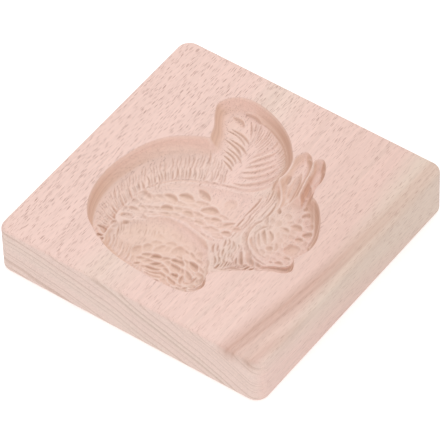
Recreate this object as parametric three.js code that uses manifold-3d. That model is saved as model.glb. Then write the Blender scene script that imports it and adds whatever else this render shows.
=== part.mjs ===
// Wooden cookie mould: one square board of solid beech with a squirrel hollowed into its top face.
// Dough is pressed into the hollow and knocked out again, so every wall of it leans outwards.
// Millimetres, +Z up, origin at the centre of the underside. The squirrel stands along +Y and looks along +X.

import * as THREE from 'three';
import { mergeVertices } from 'three/addons/utils/BufferGeometryUtils.js';
import Module from 'manifold-3d';

// The figure is as tall as figureHeight. Its outlines below are drawn at drawnHeight.
const figureHeight = 78.5;
const drawnHeight = 78.5;
const figureScale = figureHeight / drawnHeight;

// The square board is as wide as the figure is tall, with figureMargin of plain wood on each side.
// Its top face has corners of faceCornerRadius, and every edge round it is eased by edgeRounding.
const figureMargin = 10.75;
const boardSide = figureHeight + 2 * figureMargin;
const boardThickness = 18;
const faceCornerRadius = 3;
const edgeRounding = 1.5;
const cornerSteps = 4;
const edgeSteps = 3;

// How finely a hollow is faceted: stations along its spine, and levels from its rim (0) to its spine (1)
const stations = 16;
const levels = [0, 0.07, 0.15, 0.25, 0.4, 0.62];
const cutterRise = 1;

// Deepest points of the hollows, below the top face
const tailDepth = 6.2;
const bendDepth = 5.6;
const plumeDepth = 5.8;
const torsoDepth = 6.8;
const haunchDepth = 7.4;
const footDepth = 5.6;
const chestDepth = 6.2;
const throatDepth = 6;
const neckDepth = 6.2;
const headDepth = 6.6;
const muzzleDepth = 5.8;
const earDepth = 5.4;
const groundDepth = 5;

// Each hollow is drawn on the top face as two sides that run from one tip to the other. Its floor falls
// from there to the spine, which has a share of the full depth at each of its points. A larger
// steepness gives a steeper wall and a flatter floor.
const hollows = [
  {
    name: 'lower tail',
    from: [-20.8, -35.2],
    to: [-0.5, 8.2],
    left: [[-25, -32.9], [-29.5, -29.8], [-33.2, -24.8], [-35.6, -18], [-36.3, -10], [-35.3, -3],
      [-32.6, 5.6], [-28.6, 11.6], [-23.5, 15.6], [-17, 18.6], [-10, 17.4], [-4.6, 13.6]],
    right: [[-20.6, -31], [-22.2, -25.7], [-23.6, -20.4], [-23.4, -14], [-22.2, -8.5], [-19.6, -4],
      [-15.8, -0.6], [-11, 1.6], [-6.2, 3], [-2.2, 4.2]],
    spine: [[-22.8, -32.6, 0.6], [-28, -26.5, 0.94], [-30.2, -17, 1], [-29.6, -7, 1], [-26, 2, 1],
      [-20, 7.6, 0.95], [-12, 9.4, 0.9], [-5, 8.4, 0.85]],
    depth: tailDepth,
    steepness: 4.6,
  },
  {
    name: 'bend of the tail',
    from: [-17.8, 17.8],
    to: [1, 12.5],
    left: [[-14.5, 22], [-9, 24], [-3, 21.5]],
    right: [[-16.4, 11], [-11, 6.6], [-5, 6.4]],
    spine: [[-13.4, 16.2, 0.9], [-9, 14.6, 1], [-4, 13.6, 1]],
    depth: bendDepth,
    steepness: 3.6,
  },
  {
    name: 'plume of the tail',
    from: [-20.5, 37.9],
    to: [-2.5, 7],
    left: [[-16, 39.2], [-10, 38.6], [-4, 36.6], [2, 33.2], [6.5, 29], [9.6, 24.6], [10.4, 20],
      [9.3, 15], [6.8, 10.8], [2.8, 7.8]],
    right: [[-23.3, 35.2], [-24.4, 31.8], [-22.7, 27.8], [-20, 23.7], [-17.8, 18.5], [-14, 13.2],
      [-9, 9]],
    spine: [[-15.4, 35, 0.8], [-9.8, 32.4, 0.92], [-3.6, 28, 0.98], [1.2, 22.5, 1], [2.6, 17, 1],
      [1, 12.5, 0.98]],
    depth: plumeDepth,
    steepness: 3.6,
  },
  {
    name: 'torso',
    from: [-24.5, -29],
    to: [13, -6],
    left: [[-28, -22], [-28.4, -14], [-26.8, -6], [-23, 0.1], [-17.2, 5.6], [-10.5, 8.2],
      [-4, 11], [2.5, 14], [8, 14.4], [13, 6]],
    right: [[-21.6, -24.4], [-18, -18.4], [-12.4, -15.2], [-5, -14.8], [2, -15.8], [8.6, -16.4]],
    spine: [[-22.6, -20, 0.8], [-20.5, -12, 0.92], [-13, -5, 1], [-4, -3, 1], [5, -3, 0.98]],
    depth: torsoDepth,
    steepness: 4,
  },
  {
    name: 'haunch',
    from: [-25.4, -28.5],
    to: [15.2, -27.5],
    left: [[-25.3, -19.5], [-21.2, -12.6], [-14, -8.7], [-6, -7.7], [0.8, -9.3], [6.8, -11.5],
      [11.4, -15.6], [14, -21]],
    right: [[-21.3, -34.6], [-16.5, -37.1], [-10, -38.5], [0, -39.2], [8, -38.9], [13.6, -35]],
    spine: [[-20, -27, 0.9], [-11, -25.2, 1], [-1, -25.2, 1], [9.4, -28, 0.88]],
    depth: haunchDepth,
    steepness: 4.4,
  },
  {
    name: 'foot',
    from: [-6, -36.5],
    to: [17.1, -33.4],
    left: [[-2, -31], [4, -27.6], [10, -26.8], [14.4, -28.6], [16.6, -31.4]],
    right: [[0, -39.2], [6, -39.1], [11.5, -38.7], [15.4, -37]],
    spine: [[1, -34, 0.95], [8, -33.4, 1], [13.3, -33.3, 0.9]],
    depth: footDepth,
    steepness: 4,
  },
  {
    name: 'chest',
    from: [15, -27.4],
    to: [9, 1],
    left: [[10, -24.4], [5, -20], [2.2, -14], [2.4, -7]],
    right: [[18.4, -24.6], [22, -20.6], [22, -15], [19.6, -9.4], [16, -4]],
    spine: [[14.6, -22.5, 0.9], [12.4, -17.5, 1], [10.6, -12, 1], [9.6, -6, 0.98]],
    depth: chestDepth,
    steepness: 4.2,
  },
  {
    name: 'throat',
    from: [13.4, -20.6],
    to: [31.5, -15.8],
    left: [[14.4, -13.6], [18.4, -8.8], [24.4, -7.6], [29.4, -9.6]],
    right: [[17, -25.5], [20.5, -23], [26.5, -18.9], [29.4, -17]],
    spine: [[17.8, -19.6, 0.95], [21.4, -16.4, 1], [25.6, -14.4, 0.92]],
    depth: throatDepth,
    steepness: 4.2,
  },
  {
    name: 'neck',
    from: [11.5, 22],
    to: [10.6, -13.4],
    left: [[16, 17], [17.4, 9], [17.2, 1], [16.4, -6]],
    right: [[6.4, 15.4], [2.4, 9], [2, 2], [3, -5]],
    spine: [[11.4, 16, 0.88], [10.4, 9, 0.97], [10, 1, 1], [10, -7, 1]],
    depth: neckDepth,
    steepness: 4,
  },
  {
    name: 'head',
    from: [22, 16.4],
    to: [27, -14],
    left: [[26.4, 14.4], [30, 10.6], [33, 6], [34.9, 1.2], [35, -3.2], [33, -8.4], [30.6, -11.6]],
    right: [[14.4, 15], [9.4, 8], [8.4, 1], [10.2, -7], [15, -13.2], [21.2, -15.6]],
    spine: [[20.6, 11, 0.9], [22.4, 5, 1], [23.2, -1.5, 1], [24.4, -7.4, 0.96]],
    depth: headDepth,
    steepness: 4,
  },
  {
    name: 'muzzle',
    from: [21.5, -5],
    to: [35.9, -12.8],
    left: [[26, -3], [31, -5.6], [33.8, -9], [35.4, -11.2]],
    right: [[21, -11], [24, -15.5], [28.5, -17.2], [32, -15.8], [34.6, -14.8]],
    spine: [[25.5, -8, 1], [29.5, -10.2, 0.98], [32.8, -12, 0.88]],
    depth: muzzleDepth,
    steepness: 4,
  },
  {
    name: 'near ear',
    from: [11.6, 30.6],
    to: [14, 8],
    left: [[13.4, 29.9], [15.2, 27], [16.5, 22], [17.6, 15]],
    right: [[10.1, 29.4], [9.9, 26], [9.6, 22], [9.6, 14.5]],
    spine: [[12, 27.6, 0.8], [12.6, 22, 0.96], [13.4, 14, 1.04]],
    depth: earDepth,
    steepness: 3.8,
  },
  {
    name: 'far ear',
    from: [17.2, 30.7],
    to: [21, 6],
    left: [[19.4, 29], [21.4, 25.5], [22.1, 21.5], [23, 17.4], [24.6, 13]],
    right: [[15.5, 29.6], [14.6, 26.5], [14.8, 21], [16.4, 14.6]],
    spine: [[17.6, 27.6, 0.8], [19, 21.5, 1], [20.6, 13, 1.06]],
    depth: earDepth,
    steepness: 3.8,
  },
];

// The ridges between the hollows are cut down to one level, inside this line that joins their spines
const ground = [[-23, -31.5], [-28, -26], [-30, -17], [-29.4, -7], [-26, 1.6], [-20, 6.8], [-13, 10],
  [-9, 14], [-3, 15], [1, 14], [3.6, 12.4], [4.6, 8.6], [8, 8.5], [10.4, 12], [13.4, 13], [16, 9], [20.6, 11],
  [22.6, 5], [23.6, -2], [25.6, -9], [25.6, -14.4], [21.4, -16.4], [17.6, -19.6], [14.4, -23],
  [12, -30.6], [5, -32.6], [-8, -32], [-17, -28.6]];

const wasm = await Module();
wasm.setup();

function onBoard([x, y]) {
  return new THREE.Vector2(x * figureScale, y * figureScale);
}

function solidFrom(positions, indices) {
  return new wasm.Manifold(new wasm.Mesh({
    numProp: 3,
    vertProperties: new Float32Array(positions),
    triVerts: new Uint32Array(indices),
  }));
}

// The outline of a hollow as a ring of points: out along its right side, and back along its left side
function outlineRing({ from, right, to, left }) {
  const corners = [from, ...right, to, ...left.toReversed()].map(onBoard);
  const curve = new THREE.CatmullRomCurve3(corners.map(({ x, y }) => new THREE.Vector3(x, y, 0)), true);
  const rightShare = (right.length + 1) / corners.length;
  const ring = [];
  for (let i = 0; i < 2 * stations; i += 1) {
    const along = i <= stations ? rightShare * (i / stations)
      : rightShare + (1 - rightShare) * (i / stations - 1);
    ring.push(curve.getPoint(along));
  }
  return ring;
}

function spineLine({ spine, depth }) {
  const points = spine.map(([x, y, share]) => {
    const place = onBoard([x, y]);
    return new THREE.Vector3(place.x, place.y, share * depth);
  });
  const curve = new THREE.CatmullRomCurve3(points);
  return Array.from({ length: stations + 1 }, (_, i) => curve.getPoint(i / stations));
}

// A closed solid with the hollow's shape below the top face and a flat lid above it
function cutterFor(hollow) {
  const ring = outlineRing(hollow);
  const spine = spineLine(hollow);
  const around = ring.length;
  const onSpine = (i) => (i <= stations ? i : around - i);
  const positions = [];
  for (const point of ring) positions.push(point.x, point.y, boardThickness + cutterRise);
  for (const level of levels) {
    ring.forEach((point, i) => {
      const low = spine[onSpine(i)];
      const fall = 1 - (1 - level) ** hollow.steepness;
      positions.push(
        THREE.MathUtils.lerp(point.x, low.x, level),
        THREE.MathUtils.lerp(point.y, low.y, level),
        boardThickness - low.z * fall,
      );
    });
  }
  const spineStart = positions.length / 3;
  for (const low of spine) positions.push(low.x, low.y, boardThickness - low.z);

  const indices = [];
  const addTriangle = (...corners) => {
    if (new Set(corners).size === 3) indices.push(...corners);
  };
  const addBand = (upper, lower) => {
    for (let i = 0; i < around; i += 1) {
      const j = (i + 1) % around;
      addTriangle(upper(i), lower(i), lower(j));
      addTriangle(upper(i), lower(j), upper(j));
    }
  };
  for (let band = 0; band < levels.length; band += 1) {
    addBand((i) => band * around + i, (i) => (band + 1) * around + i);
  }
  addBand((i) => levels.length * around + i, (i) => spineStart + onSpine(i));
  const lid = THREE.ShapeUtils.triangulateShape(ring.map(({ x, y }) => new THREE.Vector2(x, y)), []);
  for (const corners of lid) addTriangle(...corners);
  return solidFrom(positions, indices);
}

function solidFromGeometry(geometry) {
  geometry.deleteAttribute('normal');
  geometry.deleteAttribute('uv');
  const merged = mergeVertices(geometry);
  return solidFrom(merged.attributes.position.array, merged.index.array);
}

// The plain board, with rounded corners and eased edges
function boardSolid() {
  const cornerPlace = boardSide / 2 - edgeRounding - faceCornerRadius;
  const quarterTurn = Math.PI / 2;
  const outline = new THREE.Shape();
  [[1, 1], [-1, 1], [-1, -1], [1, -1]].forEach(([toX, toY], turns) => {
    const startAngle = turns * quarterTurn;
    outline.absarc(toX * cornerPlace, toY * cornerPlace, faceCornerRadius, startAngle, startAngle + quarterTurn);
  });
  const geometry = new THREE.ExtrudeGeometry(outline, {
    depth: boardThickness - 2 * edgeRounding,
    bevelSize: edgeRounding,
    bevelThickness: edgeRounding,
    bevelSegments: edgeSteps,
    curveSegments: cornerSteps,
  });
  geometry.translate(0, 0, edgeRounding);
  return solidFromGeometry(geometry);
}

function groundCutter() {
  const geometry = new THREE.ExtrudeGeometry(new THREE.Shape(ground.map(onBoard)), {
    depth: groundDepth + cutterRise,
    bevelEnabled: false,
  });
  geometry.translate(0, 0, boardThickness - groundDepth);
  return solidFromGeometry(geometry);
}

function meshFrom(solid, name, material) {
  const { vertProperties, triVerts } = solid.getMesh();
  const geometry = new THREE.BufferGeometry();
  geometry.setAttribute('position', new THREE.BufferAttribute(vertProperties, 3));
  geometry.setIndex(new THREE.BufferAttribute(triVerts, 1));
  geometry.computeVertexNormals();
  const mesh = new THREE.Mesh(geometry, material);
  mesh.name = name;
  return mesh;
}

const beech = new THREE.MeshStandardMaterial({ color: 0xe9cbc0, roughness: 0.72, metalness: 0 });

let carving = groundCutter();
for (const hollow of hollows) carving = carving.add(cutterFor(hollow));
const board = boardSolid().subtract(carving);

const mould = new THREE.Group();
mould.add(meshFrom(board, 'mould_board', beech));
export default mould;
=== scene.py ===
"""A wooden cookie mould: a square board of beech with a squirrel hollowed and gouged into its top face."""

import math
from functools import partial

import bpy
from mathutils import Matrix, Vector


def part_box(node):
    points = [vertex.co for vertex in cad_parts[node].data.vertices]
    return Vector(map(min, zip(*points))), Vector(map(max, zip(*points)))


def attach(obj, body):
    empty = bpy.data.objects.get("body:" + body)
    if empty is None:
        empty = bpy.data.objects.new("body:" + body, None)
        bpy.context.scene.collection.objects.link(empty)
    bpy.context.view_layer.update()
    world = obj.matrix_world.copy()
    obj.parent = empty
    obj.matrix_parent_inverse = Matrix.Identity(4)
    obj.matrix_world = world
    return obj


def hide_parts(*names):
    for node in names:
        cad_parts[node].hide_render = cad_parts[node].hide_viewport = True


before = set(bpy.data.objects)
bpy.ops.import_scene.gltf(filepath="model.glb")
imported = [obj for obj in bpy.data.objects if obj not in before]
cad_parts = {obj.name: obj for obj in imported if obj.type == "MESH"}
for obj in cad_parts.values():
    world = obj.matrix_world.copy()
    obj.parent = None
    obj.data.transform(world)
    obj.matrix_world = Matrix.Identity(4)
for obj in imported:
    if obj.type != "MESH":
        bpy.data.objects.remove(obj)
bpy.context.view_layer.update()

bl_info = {
    "name": "Wooden cookie mould",
    "version": (1, 0, 0),
    "blender": (4, 5, 0),
    "location": "3D View > Sidebar > Cookie mould",
    "description": "Builds a beech cookie mould with a carved squirrel, and a plain studio to look at it in",
    "category": "Object",
}

MM = 0.001
BOARD_LOW, BOARD_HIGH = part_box("mould_board")
TOP = BOARD_HIGH.z
BOARD_NAME = "mould_board_carved"

# Steps around each corner and eased edge of the board, along and down the surface of each hollow, between
# two points of a gouge cut, and across its trough
CORNER_STEPS = 12
EDGE_STEPS = 7
STATIONS = 64
RINGS = 26
CUT_STEPS = 6
TROUGH_STEPS = 9

# How far the surface of a hollow goes on above the top, as a share of the way in to its spine, and the power
# by which its rings crowd towards the rim, where the wall bends most
ABOVE_TOP = 0.06
RING_CROWDING = 1.7

# The power of a gouge cut's taper. The lower it is, the longer the cut keeps its full width.
TAPER = 0.7

# The scoops are drawn by their dark floors, and their sides reach about half as far again. A gouge held
# askew leaves one side steeper.
SIDE_REACH = 1.5
SCOOP_LEAN = -0.25

# The body that is taken from the board rises this far from its carved floor, and then its roof is levelled
# clear of the top face
BODY_RISE = 20 * MM
ROOF = TOP + 5 * MM

# The camera's view is shifted by these shares of its width, because the photograph's middle lies off the
# camera's line of sight
CAMERA_SHIFT = (-0.00475, -0.00792)

# Where the soft lights stand from the board, and how wide each looks
WINDOW_SIDE = (-0.4, 0.65, 1)
REFLECTOR_SIDE = (0.5, -0.8, 0.25)
LIGHT_WIDTH = math.radians(30)

# The paper floor reaches this far from the board, and lies this little below it
PAPER_REACH = 2
PAPER_GAP = 0.05 * MM

# A carved board has many more faces than this, and a plain one far fewer
FEWEST_FACES = 10000

# A face is level when its normal rises this steeply
LEVEL = 0.99999

# The hollows as they are drawn on the top face, in millimetres. Each has two sides that run from one tip to
# the other, and a floor that falls from there to a spine. The third number of a spine point is its share of
# the full depth, and a larger steepness gives a steeper wall and a flatter floor. One side may be steeper or
# gentler, by a share that grows from the tips to halfway.
HOLLOWS = {
    "lower_tail": {
        "from": (-20.8, -35.2), "to": (-0.5, 8.2), "depth": 6.2, "steepness": 4.6, "left_steeper": 0.35,
        "left": [(-25, -32.9), (-29.5, -29.8), (-33.2, -24.8), (-35.6, -18), (-36.3, -10), (-35.3, -3),
                 (-32.6, 5.6), (-28.6, 11.6), (-23.5, 15.6), (-17, 18.6), (-10, 17.4), (-4.6, 13.6)],
        "right": [(-20.6, -31), (-22.2, -25.7), (-23.6, -20.4), (-23.4, -14), (-22.2, -8.5), (-19.6, -4),
                  (-15.8, -0.6), (-11, 1.6), (-6.2, 3), (-2.2, 4.2)],
        "spine": [(-22.8, -32.6, 0.6), (-28, -26.5, 0.94), (-30.2, -17, 1), (-29.6, -7, 1), (-26, 2, 1),
                  (-20, 7.6, 0.95), (-12, 9.4, 0.9), (-5, 8.4, 0.85)],
    },
    "tail_bend": {
        "from": (-17.8, 17.8), "to": (1, 12.5), "depth": 5.6, "steepness": 3.6,
        "left": [(-14.5, 22), (-9, 24), (-3, 21.5)],
        "right": [(-16.4, 11), (-11, 6.6), (-5, 6.4)],
        "spine": [(-13.4, 16.2, 0.9), (-9, 14.6, 1), (-4, 13.6, 1)],
    },
    "plume": {
        "from": (-20.5, 37.9), "to": (-2.5, 7), "depth": 5.8, "steepness": 3.6, "right_steeper": 1.2,
        "left": [(-16, 39.2), (-10, 38.6), (-4, 36.6), (2, 33.2), (6.5, 29), (9.6, 24.6), (10.4, 20),
                 (9.3, 15), (6.8, 10.8), (2.8, 7.8)],
        "right": [(-23.3, 35.2), (-24.4, 31.8), (-22.7, 27.8), (-20, 23.7), (-17.8, 18.5), (-14, 13.2),
                  (-9, 9)],
        "spine": [(-15.4, 35, 0.8), (-9.8, 32.4, 0.92), (-3.6, 28, 0.98), (1.2, 22.5, 1), (2.6, 17, 1),
                  (1, 12.5, 0.98)],
    },
    "torso": {
        "from": (-24.5, -29), "to": (13, -6), "depth": 6.8, "steepness": 4,
        "left": [(-28, -22), (-28.4, -14), (-26.8, -6), (-23, 0.1), (-17.2, 5.6), (-10.5, 8.2), (-4, 11),
                 (2.5, 14), (8, 14.4), (13, 6)],
        "right": [(-21.6, -24.4), (-18, -18.4), (-12.4, -15.2), (-5, -14.8), (2, -15.8), (8.6, -16.4)],
        "spine": [(-22.6, -20, 0.8), (-20.5, -12, 0.92), (-13, -5, 1), (-4, -3, 1), (5, -3, 0.98)],
    },
    "haunch": {
        "from": (-25.4, -28.5), "to": (15.2, -27.5), "depth": 7.4, "steepness": 4.4,
        "left": [(-25.3, -19.5), (-21.2, -12.6), (-14, -8.7), (-6, -7.7), (0.8, -9.3), (6.8, -11.5),
                 (11.4, -15.6), (14, -21)],
        "right": [(-21.3, -34.6), (-16.5, -37.1), (-10, -38.5), (0, -39.2), (8, -38.9), (13.6, -35)],
        "spine": [(-20, -27, 0.9), (-11, -25.2, 1), (-1, -25.2, 1), (9.4, -28, 0.88)],
    },
    "foot": {
        "from": (-6, -36.5), "to": (17.1, -33.4), "depth": 5.6, "steepness": 4,
        "left": [(-2, -31), (4, -27.6), (10, -26.8), (14.4, -28.6), (16.6, -31.4)],
        "right": [(0, -39.2), (6, -39.1), (11.5, -38.7), (15.4, -37)],
        "spine": [(1, -34, 0.95), (8, -33.4, 1), (13.3, -33.3, 0.9)],
    },
    "chest": {
        "from": (15, -27.4), "to": (9, 1), "depth": 6.2, "steepness": 4.2, "right_steeper": -0.6,
        "left": [(10, -24.4), (5, -20), (2.2, -14), (2.4, -7)],
        "right": [(18.4, -24.6), (22, -20.6), (22, -15), (19.6, -9.4), (16, -4)],
        "spine": [(14.6, -22.5, 0.9), (12.4, -17.5, 1), (10.6, -12, 1), (9.6, -6, 0.98)],
    },
    "throat": {
        "from": (13.4, -20.6), "to": (31.5, -15.8), "depth": 6, "steepness": 4.2, "right_steeper": -0.6,
        "left": [(14.4, -13.6), (18.4, -8.8), (24.4, -7.6), (29.4, -9.6)],
        "right": [(17, -25.5), (20.5, -23), (26.5, -18.9), (29.4, -17)],
        "spine": [(17.8, -19.6, 0.95), (21.4, -16.4, 1), (25.6, -14.4, 0.92)],
    },
    "neck": {
        "from": (10.4, 16.4), "to": (10.6, -13.4), "depth": 6.2, "steepness": 4,
        "left": [(15, 14), (17.4, 9), (17.2, 1), (16.4, -6)],
        "right": [(6.2, 15), (2.6, 10.4), (2, 2), (3, -5)],
        "spine": [(11, 11.4, 0.9), (10.6, 7, 0.95), (10, 1, 1), (10, -7, 1)],
    },
    "head": {
        "from": (22, 16.4), "to": (27, -14), "depth": 6.6, "steepness": 4, "left_steeper": 0.6,
        "left": [(26.4, 14.4), (30, 10.6), (33, 6), (34.9, 1.2), (35, -3.2), (33, -8.4), (30.6, -11.6)],
        "right": [(14.4, 15), (9.4, 8), (8.4, 1), (10.2, -7), (15, -13.2), (21.2, -15.6)],
        "spine": [(20.6, 11, 0.9), (22.4, 5, 1), (23.2, -1.5, 1), (24.4, -7.4, 0.96)],
    },
    "muzzle": {
        "from": (21.5, -5), "to": (35.5, -12.9), "depth": 5.8, "steepness": 4, "right_steeper": -0.5,
        "left": [(26, -3), (31, -5.6), (33.8, -9), (35.1, -11)],
        "right": [(21, -11), (24, -15.5), (28.5, -17.2), (32, -15.8), (34.3, -14.8)],
        "spine": [(25.5, -8, 1), (29.5, -10.2, 0.98), (32.8, -12, 0.88)],
    },
    "near_ear": {
        "from": (10.8, 30.6), "to": (16, 4), "depth": 2.8, "steepness": 2.2,
        "left": [(13, 30.1), (15.2, 27.6), (16.8, 23.8), (18, 19.4), (19.4, 12)],
        "right": [(9.6, 28.8), (9.2, 25.6), (9.4, 21.6), (10.6, 14)],
        "spine": [(12, 27.8, 0.85), (13.4, 22, 1.1), (15, 12.5, 2.1)],
    },
    "far_ear": {
        "from": (17, 30.9), "to": (22.4, 2), "depth": 3.3, "steepness": 2.2,
        "left": [(19.2, 29.2), (21.1, 25.8), (21.9, 22.6), (22, 19.6), (24.4, 12)],
        "right": [(15.2, 29.8), (15.4, 26.8), (16.8, 22), (18.6, 14)],
        "spine": [(17.6, 27.8, 0.9), (18.9, 22, 1.15), (21, 12, 1.85)],
    },
}

# The ridges between the hollows are worn down to one level inside this line, which joins their spines
GROUND = [(-23, -31.5), (-28, -26), (-30, -17), (-29.4, -7), (-26, 1.6), (-20, 6.8), (-13, 10), (-9, 14),
          (-3, 15), (1, 14), (2.6, 16.6), (5.6, 20.6), (9.2, 22.4), (10, 18.4), (11.8, 14), (15.4, 10),
          (20.6, 11), (22.6, 5), (23.6, -2), (25.6, -9), (25.6, -14.4), (21.4, -16.4), (17.6, -19.6),
          (14.4, -23), (12, -30.6), (5, -32.6), (-8, -32), (-17, -28.6)]

# Rows of gouge strokes on the coat. Each stroke runs from a place on the first rail to the like place on the
# second, in millimetres. A positive bend bows it to its left by that share of its length, and jitter is the
# share by which its place, length, bow and size differ by chance.
STROKE_ROWS = {
    "lower_tail": {
        "count": 66, "width": 0.8, "depth": 0.38, "bend": 0.05, "jitter": 0.35,
        "rails": [[(-26.9, -26.1), (-29.4, -22.3), (-30.6, -18.4), (-30.9, -14.4), (-30.8, -10.1),
                   (-29.7, -5.3), (-27.8, 0), (-25, 4.2), (-21.8, 7.4), (-18.2, 9.9), (-14.4, 12.4),
                   (-10.6, 13.4), (-7.7, 13.1)],
                  [(-24.2, -26.2), (-24.6, -24.2), (-24.9, -21.3), (-25.4, -18.4), (-25.5, -14.4),
                   (-24.8, -10.3), (-23, -5.7), (-20.3, -2.2), (-17.8, 0.2), (-14.6, 2.4), (-11.3, 4.9),
                   (-7.9, 6.8), (-5.3, 8.7)]],
    },
    "lower_tail_faint": {
        "count": 52, "width": 0.85, "depth": 0.24, "bend": 0.05, "jitter": 0.35,
        "rails": [[(-28.6, -26), (-32, -21), (-33.2, -16.4), (-33.2, -11.6), (-32.8, -7), (-31.6, -2),
                   (-29.8, 3.4), (-27, 8), (-23.6, 11.4), (-19.8, 14), (-16, 16.2), (-12.2, 16.4),
                   (-9, 15)],
                  [(-26, -26.2), (-28, -23), (-28.4, -19), (-29, -16), (-29, -12), (-28, -7.4), (-26, -2.6),
                   (-23.6, 1.6), (-20.6, 4.6), (-17.4, 7), (-14, 9.4), (-10.4, 10.8), (-7.6, 11.6)]],
    },
    "plume_bold": {
        "count": 8, "width": 1.35, "depth": 0.5, "bend": 0.11, "jitter": 0.3,
        "rails": [[(-17.9, 29.3), (-17.3, 27.4), (-16.5, 25.6), (-15.6, 23.8), (-14.6, 22), (-13.6, 20.2),
                   (-12.7, 18.4), (-11.7, 16.9)],
                  [(-9.5, 27.2), (-8.7, 25.4), (-8, 23.3), (-7.3, 21), (-6.7, 19.2), (-6.5, 17.6),
                   (-6.6, 16.2), (-7, 15)]],
    },
    "plume_far_side": {
        "count": 15, "width": 0.9, "depth": 0.34, "bend": -0.04, "jitter": 0.2,
        "rails": [[(-10.3, 29.7), (-8.9, 28.8), (-6.8, 27), (-5.3, 25), (-5.1, 22.9)],
                  [(-14, 35.2), (-10.9, 35.9), (-7.2, 35.2), (-3.8, 33.5), (-1, 32)]],
    },
    "plume_near_side": {
        "count": 13, "width": 0.8, "depth": 0.26, "bend": -0.06, "jitter": 0.35,
        "rails": [[(-0.6, 26), (1.2, 24.4), (2.8, 22.4), (4.4, 19.4), (5.6, 16)],
                  [(1.6, 31), (4, 28.8), (6, 26.2), (7.8, 22.6), (8.6, 18.6)]],
    },
    "haunch_band_hair": {
        "count": 30, "width": 0.85, "depth": 0.34, "bend": 0.06, "jitter": 0.4,
        "rails": [[(-12, -14.6), (-8.6, -13.4), (-5, -13.2), (-1.4, -14), (2, -15.4), (5.6, -17.4),
                   (8.6, -20)],
                  [(-9.8, -17.6), (-6.4, -16.8), (-3, -16.8), (0.4, -17.6), (3.6, -19), (6.8, -21.2),
                   (9, -23.8)]],
    },
    "haunch_hair": {
        "count": 26, "width": 0.8, "depth": 0.34, "bend": 0.05, "jitter": 0.3,
        "rails": [[(-23, -22.6), (-21, -19), (-17.6, -16.6), (-13.6, -15)],
                  [(-20.8, -27.4), (-18.4, -24), (-15, -21.6), (-10.8, -20.2)]],
    },
    "haunch_wall_hair": {
        "count": 24, "width": 0.85, "depth": 0.28, "bend": 0.04, "jitter": 0.3,
        "rails": [[(-22.6, -27.4), (-19.4, -26.4), (-15.8, -26.6), (-12, -28.4), (-8.6, -30.4)],
                  [(-19.8, -33.6), (-16.2, -34.6), (-12.4, -35.4), (-8.2, -36.4), (-4.4, -37)]],
    },
    "chest_upper": {
        "count": 7, "width": 0.9, "depth": 0.34, "bend": 0.12, "jitter": 0.5,
        "rails": [[(7.8, -8.8), (10.4, -9), (13.6, -9.2)],
                  [(9, -12), (12, -12.4), (15.6, -12.6)]],
    },
    "chest_middle": {
        "count": 9, "width": 0.9, "depth": 0.34, "bend": -0.12, "jitter": 0.5,
        "rails": [[(6.4, -12.4), (9.6, -12.8), (12.8, -13), (15.4, -13.2)],
                  [(8.2, -15.6), (11.2, -16), (14.4, -16.4), (17, -16.2)]],
    },
    "chest_lower": {
        "count": 7, "width": 0.9, "depth": 0.36, "bend": 0.12, "jitter": 0.5,
        "rails": [[(8.8, -16.4), (12, -16.6), (15, -17)],
                  [(11, -19.6), (13.8, -19.8), (16.8, -19.6)]],
    },
    "throat_foot": {
        "count": 26, "width": 0.9, "depth": 0.6, "bend": 0, "jitter": 0.4,
        "rails": [[(12.2, -17.4), (14.9, -16.4), (19.2, -14.3), (22.8, -12.7), (26.6, -10.6), (29.8, -9.2)],
                  [(12.4, -21), (14.7, -20), (17.7, -18.4), (21.6, -15.9), (25.6, -13.4), (29.7, -11.2)]],
    },
    "neck_upper": {
        "count": 9, "width": 0.9, "depth": 0.36, "bend": 0.03, "jitter": 0.45,
        "rails": [[(7.6, 12), (9.6, 14), (12.4, 13.4)],
                  [(7, 2.4), (9.4, 3.6), (12.4, 4.6)]],
    },
    "neck_lower": {
        "count": 6, "width": 0.9, "depth": 0.36, "bend": -0.03, "jitter": 0.45,
        "rails": [[(7.6, 3.4), (9.2, 3), (10.8, 2.4)],
                  [(7.8, -6), (9.4, -6.6), (10.8, -6)]],
    },
}

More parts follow.
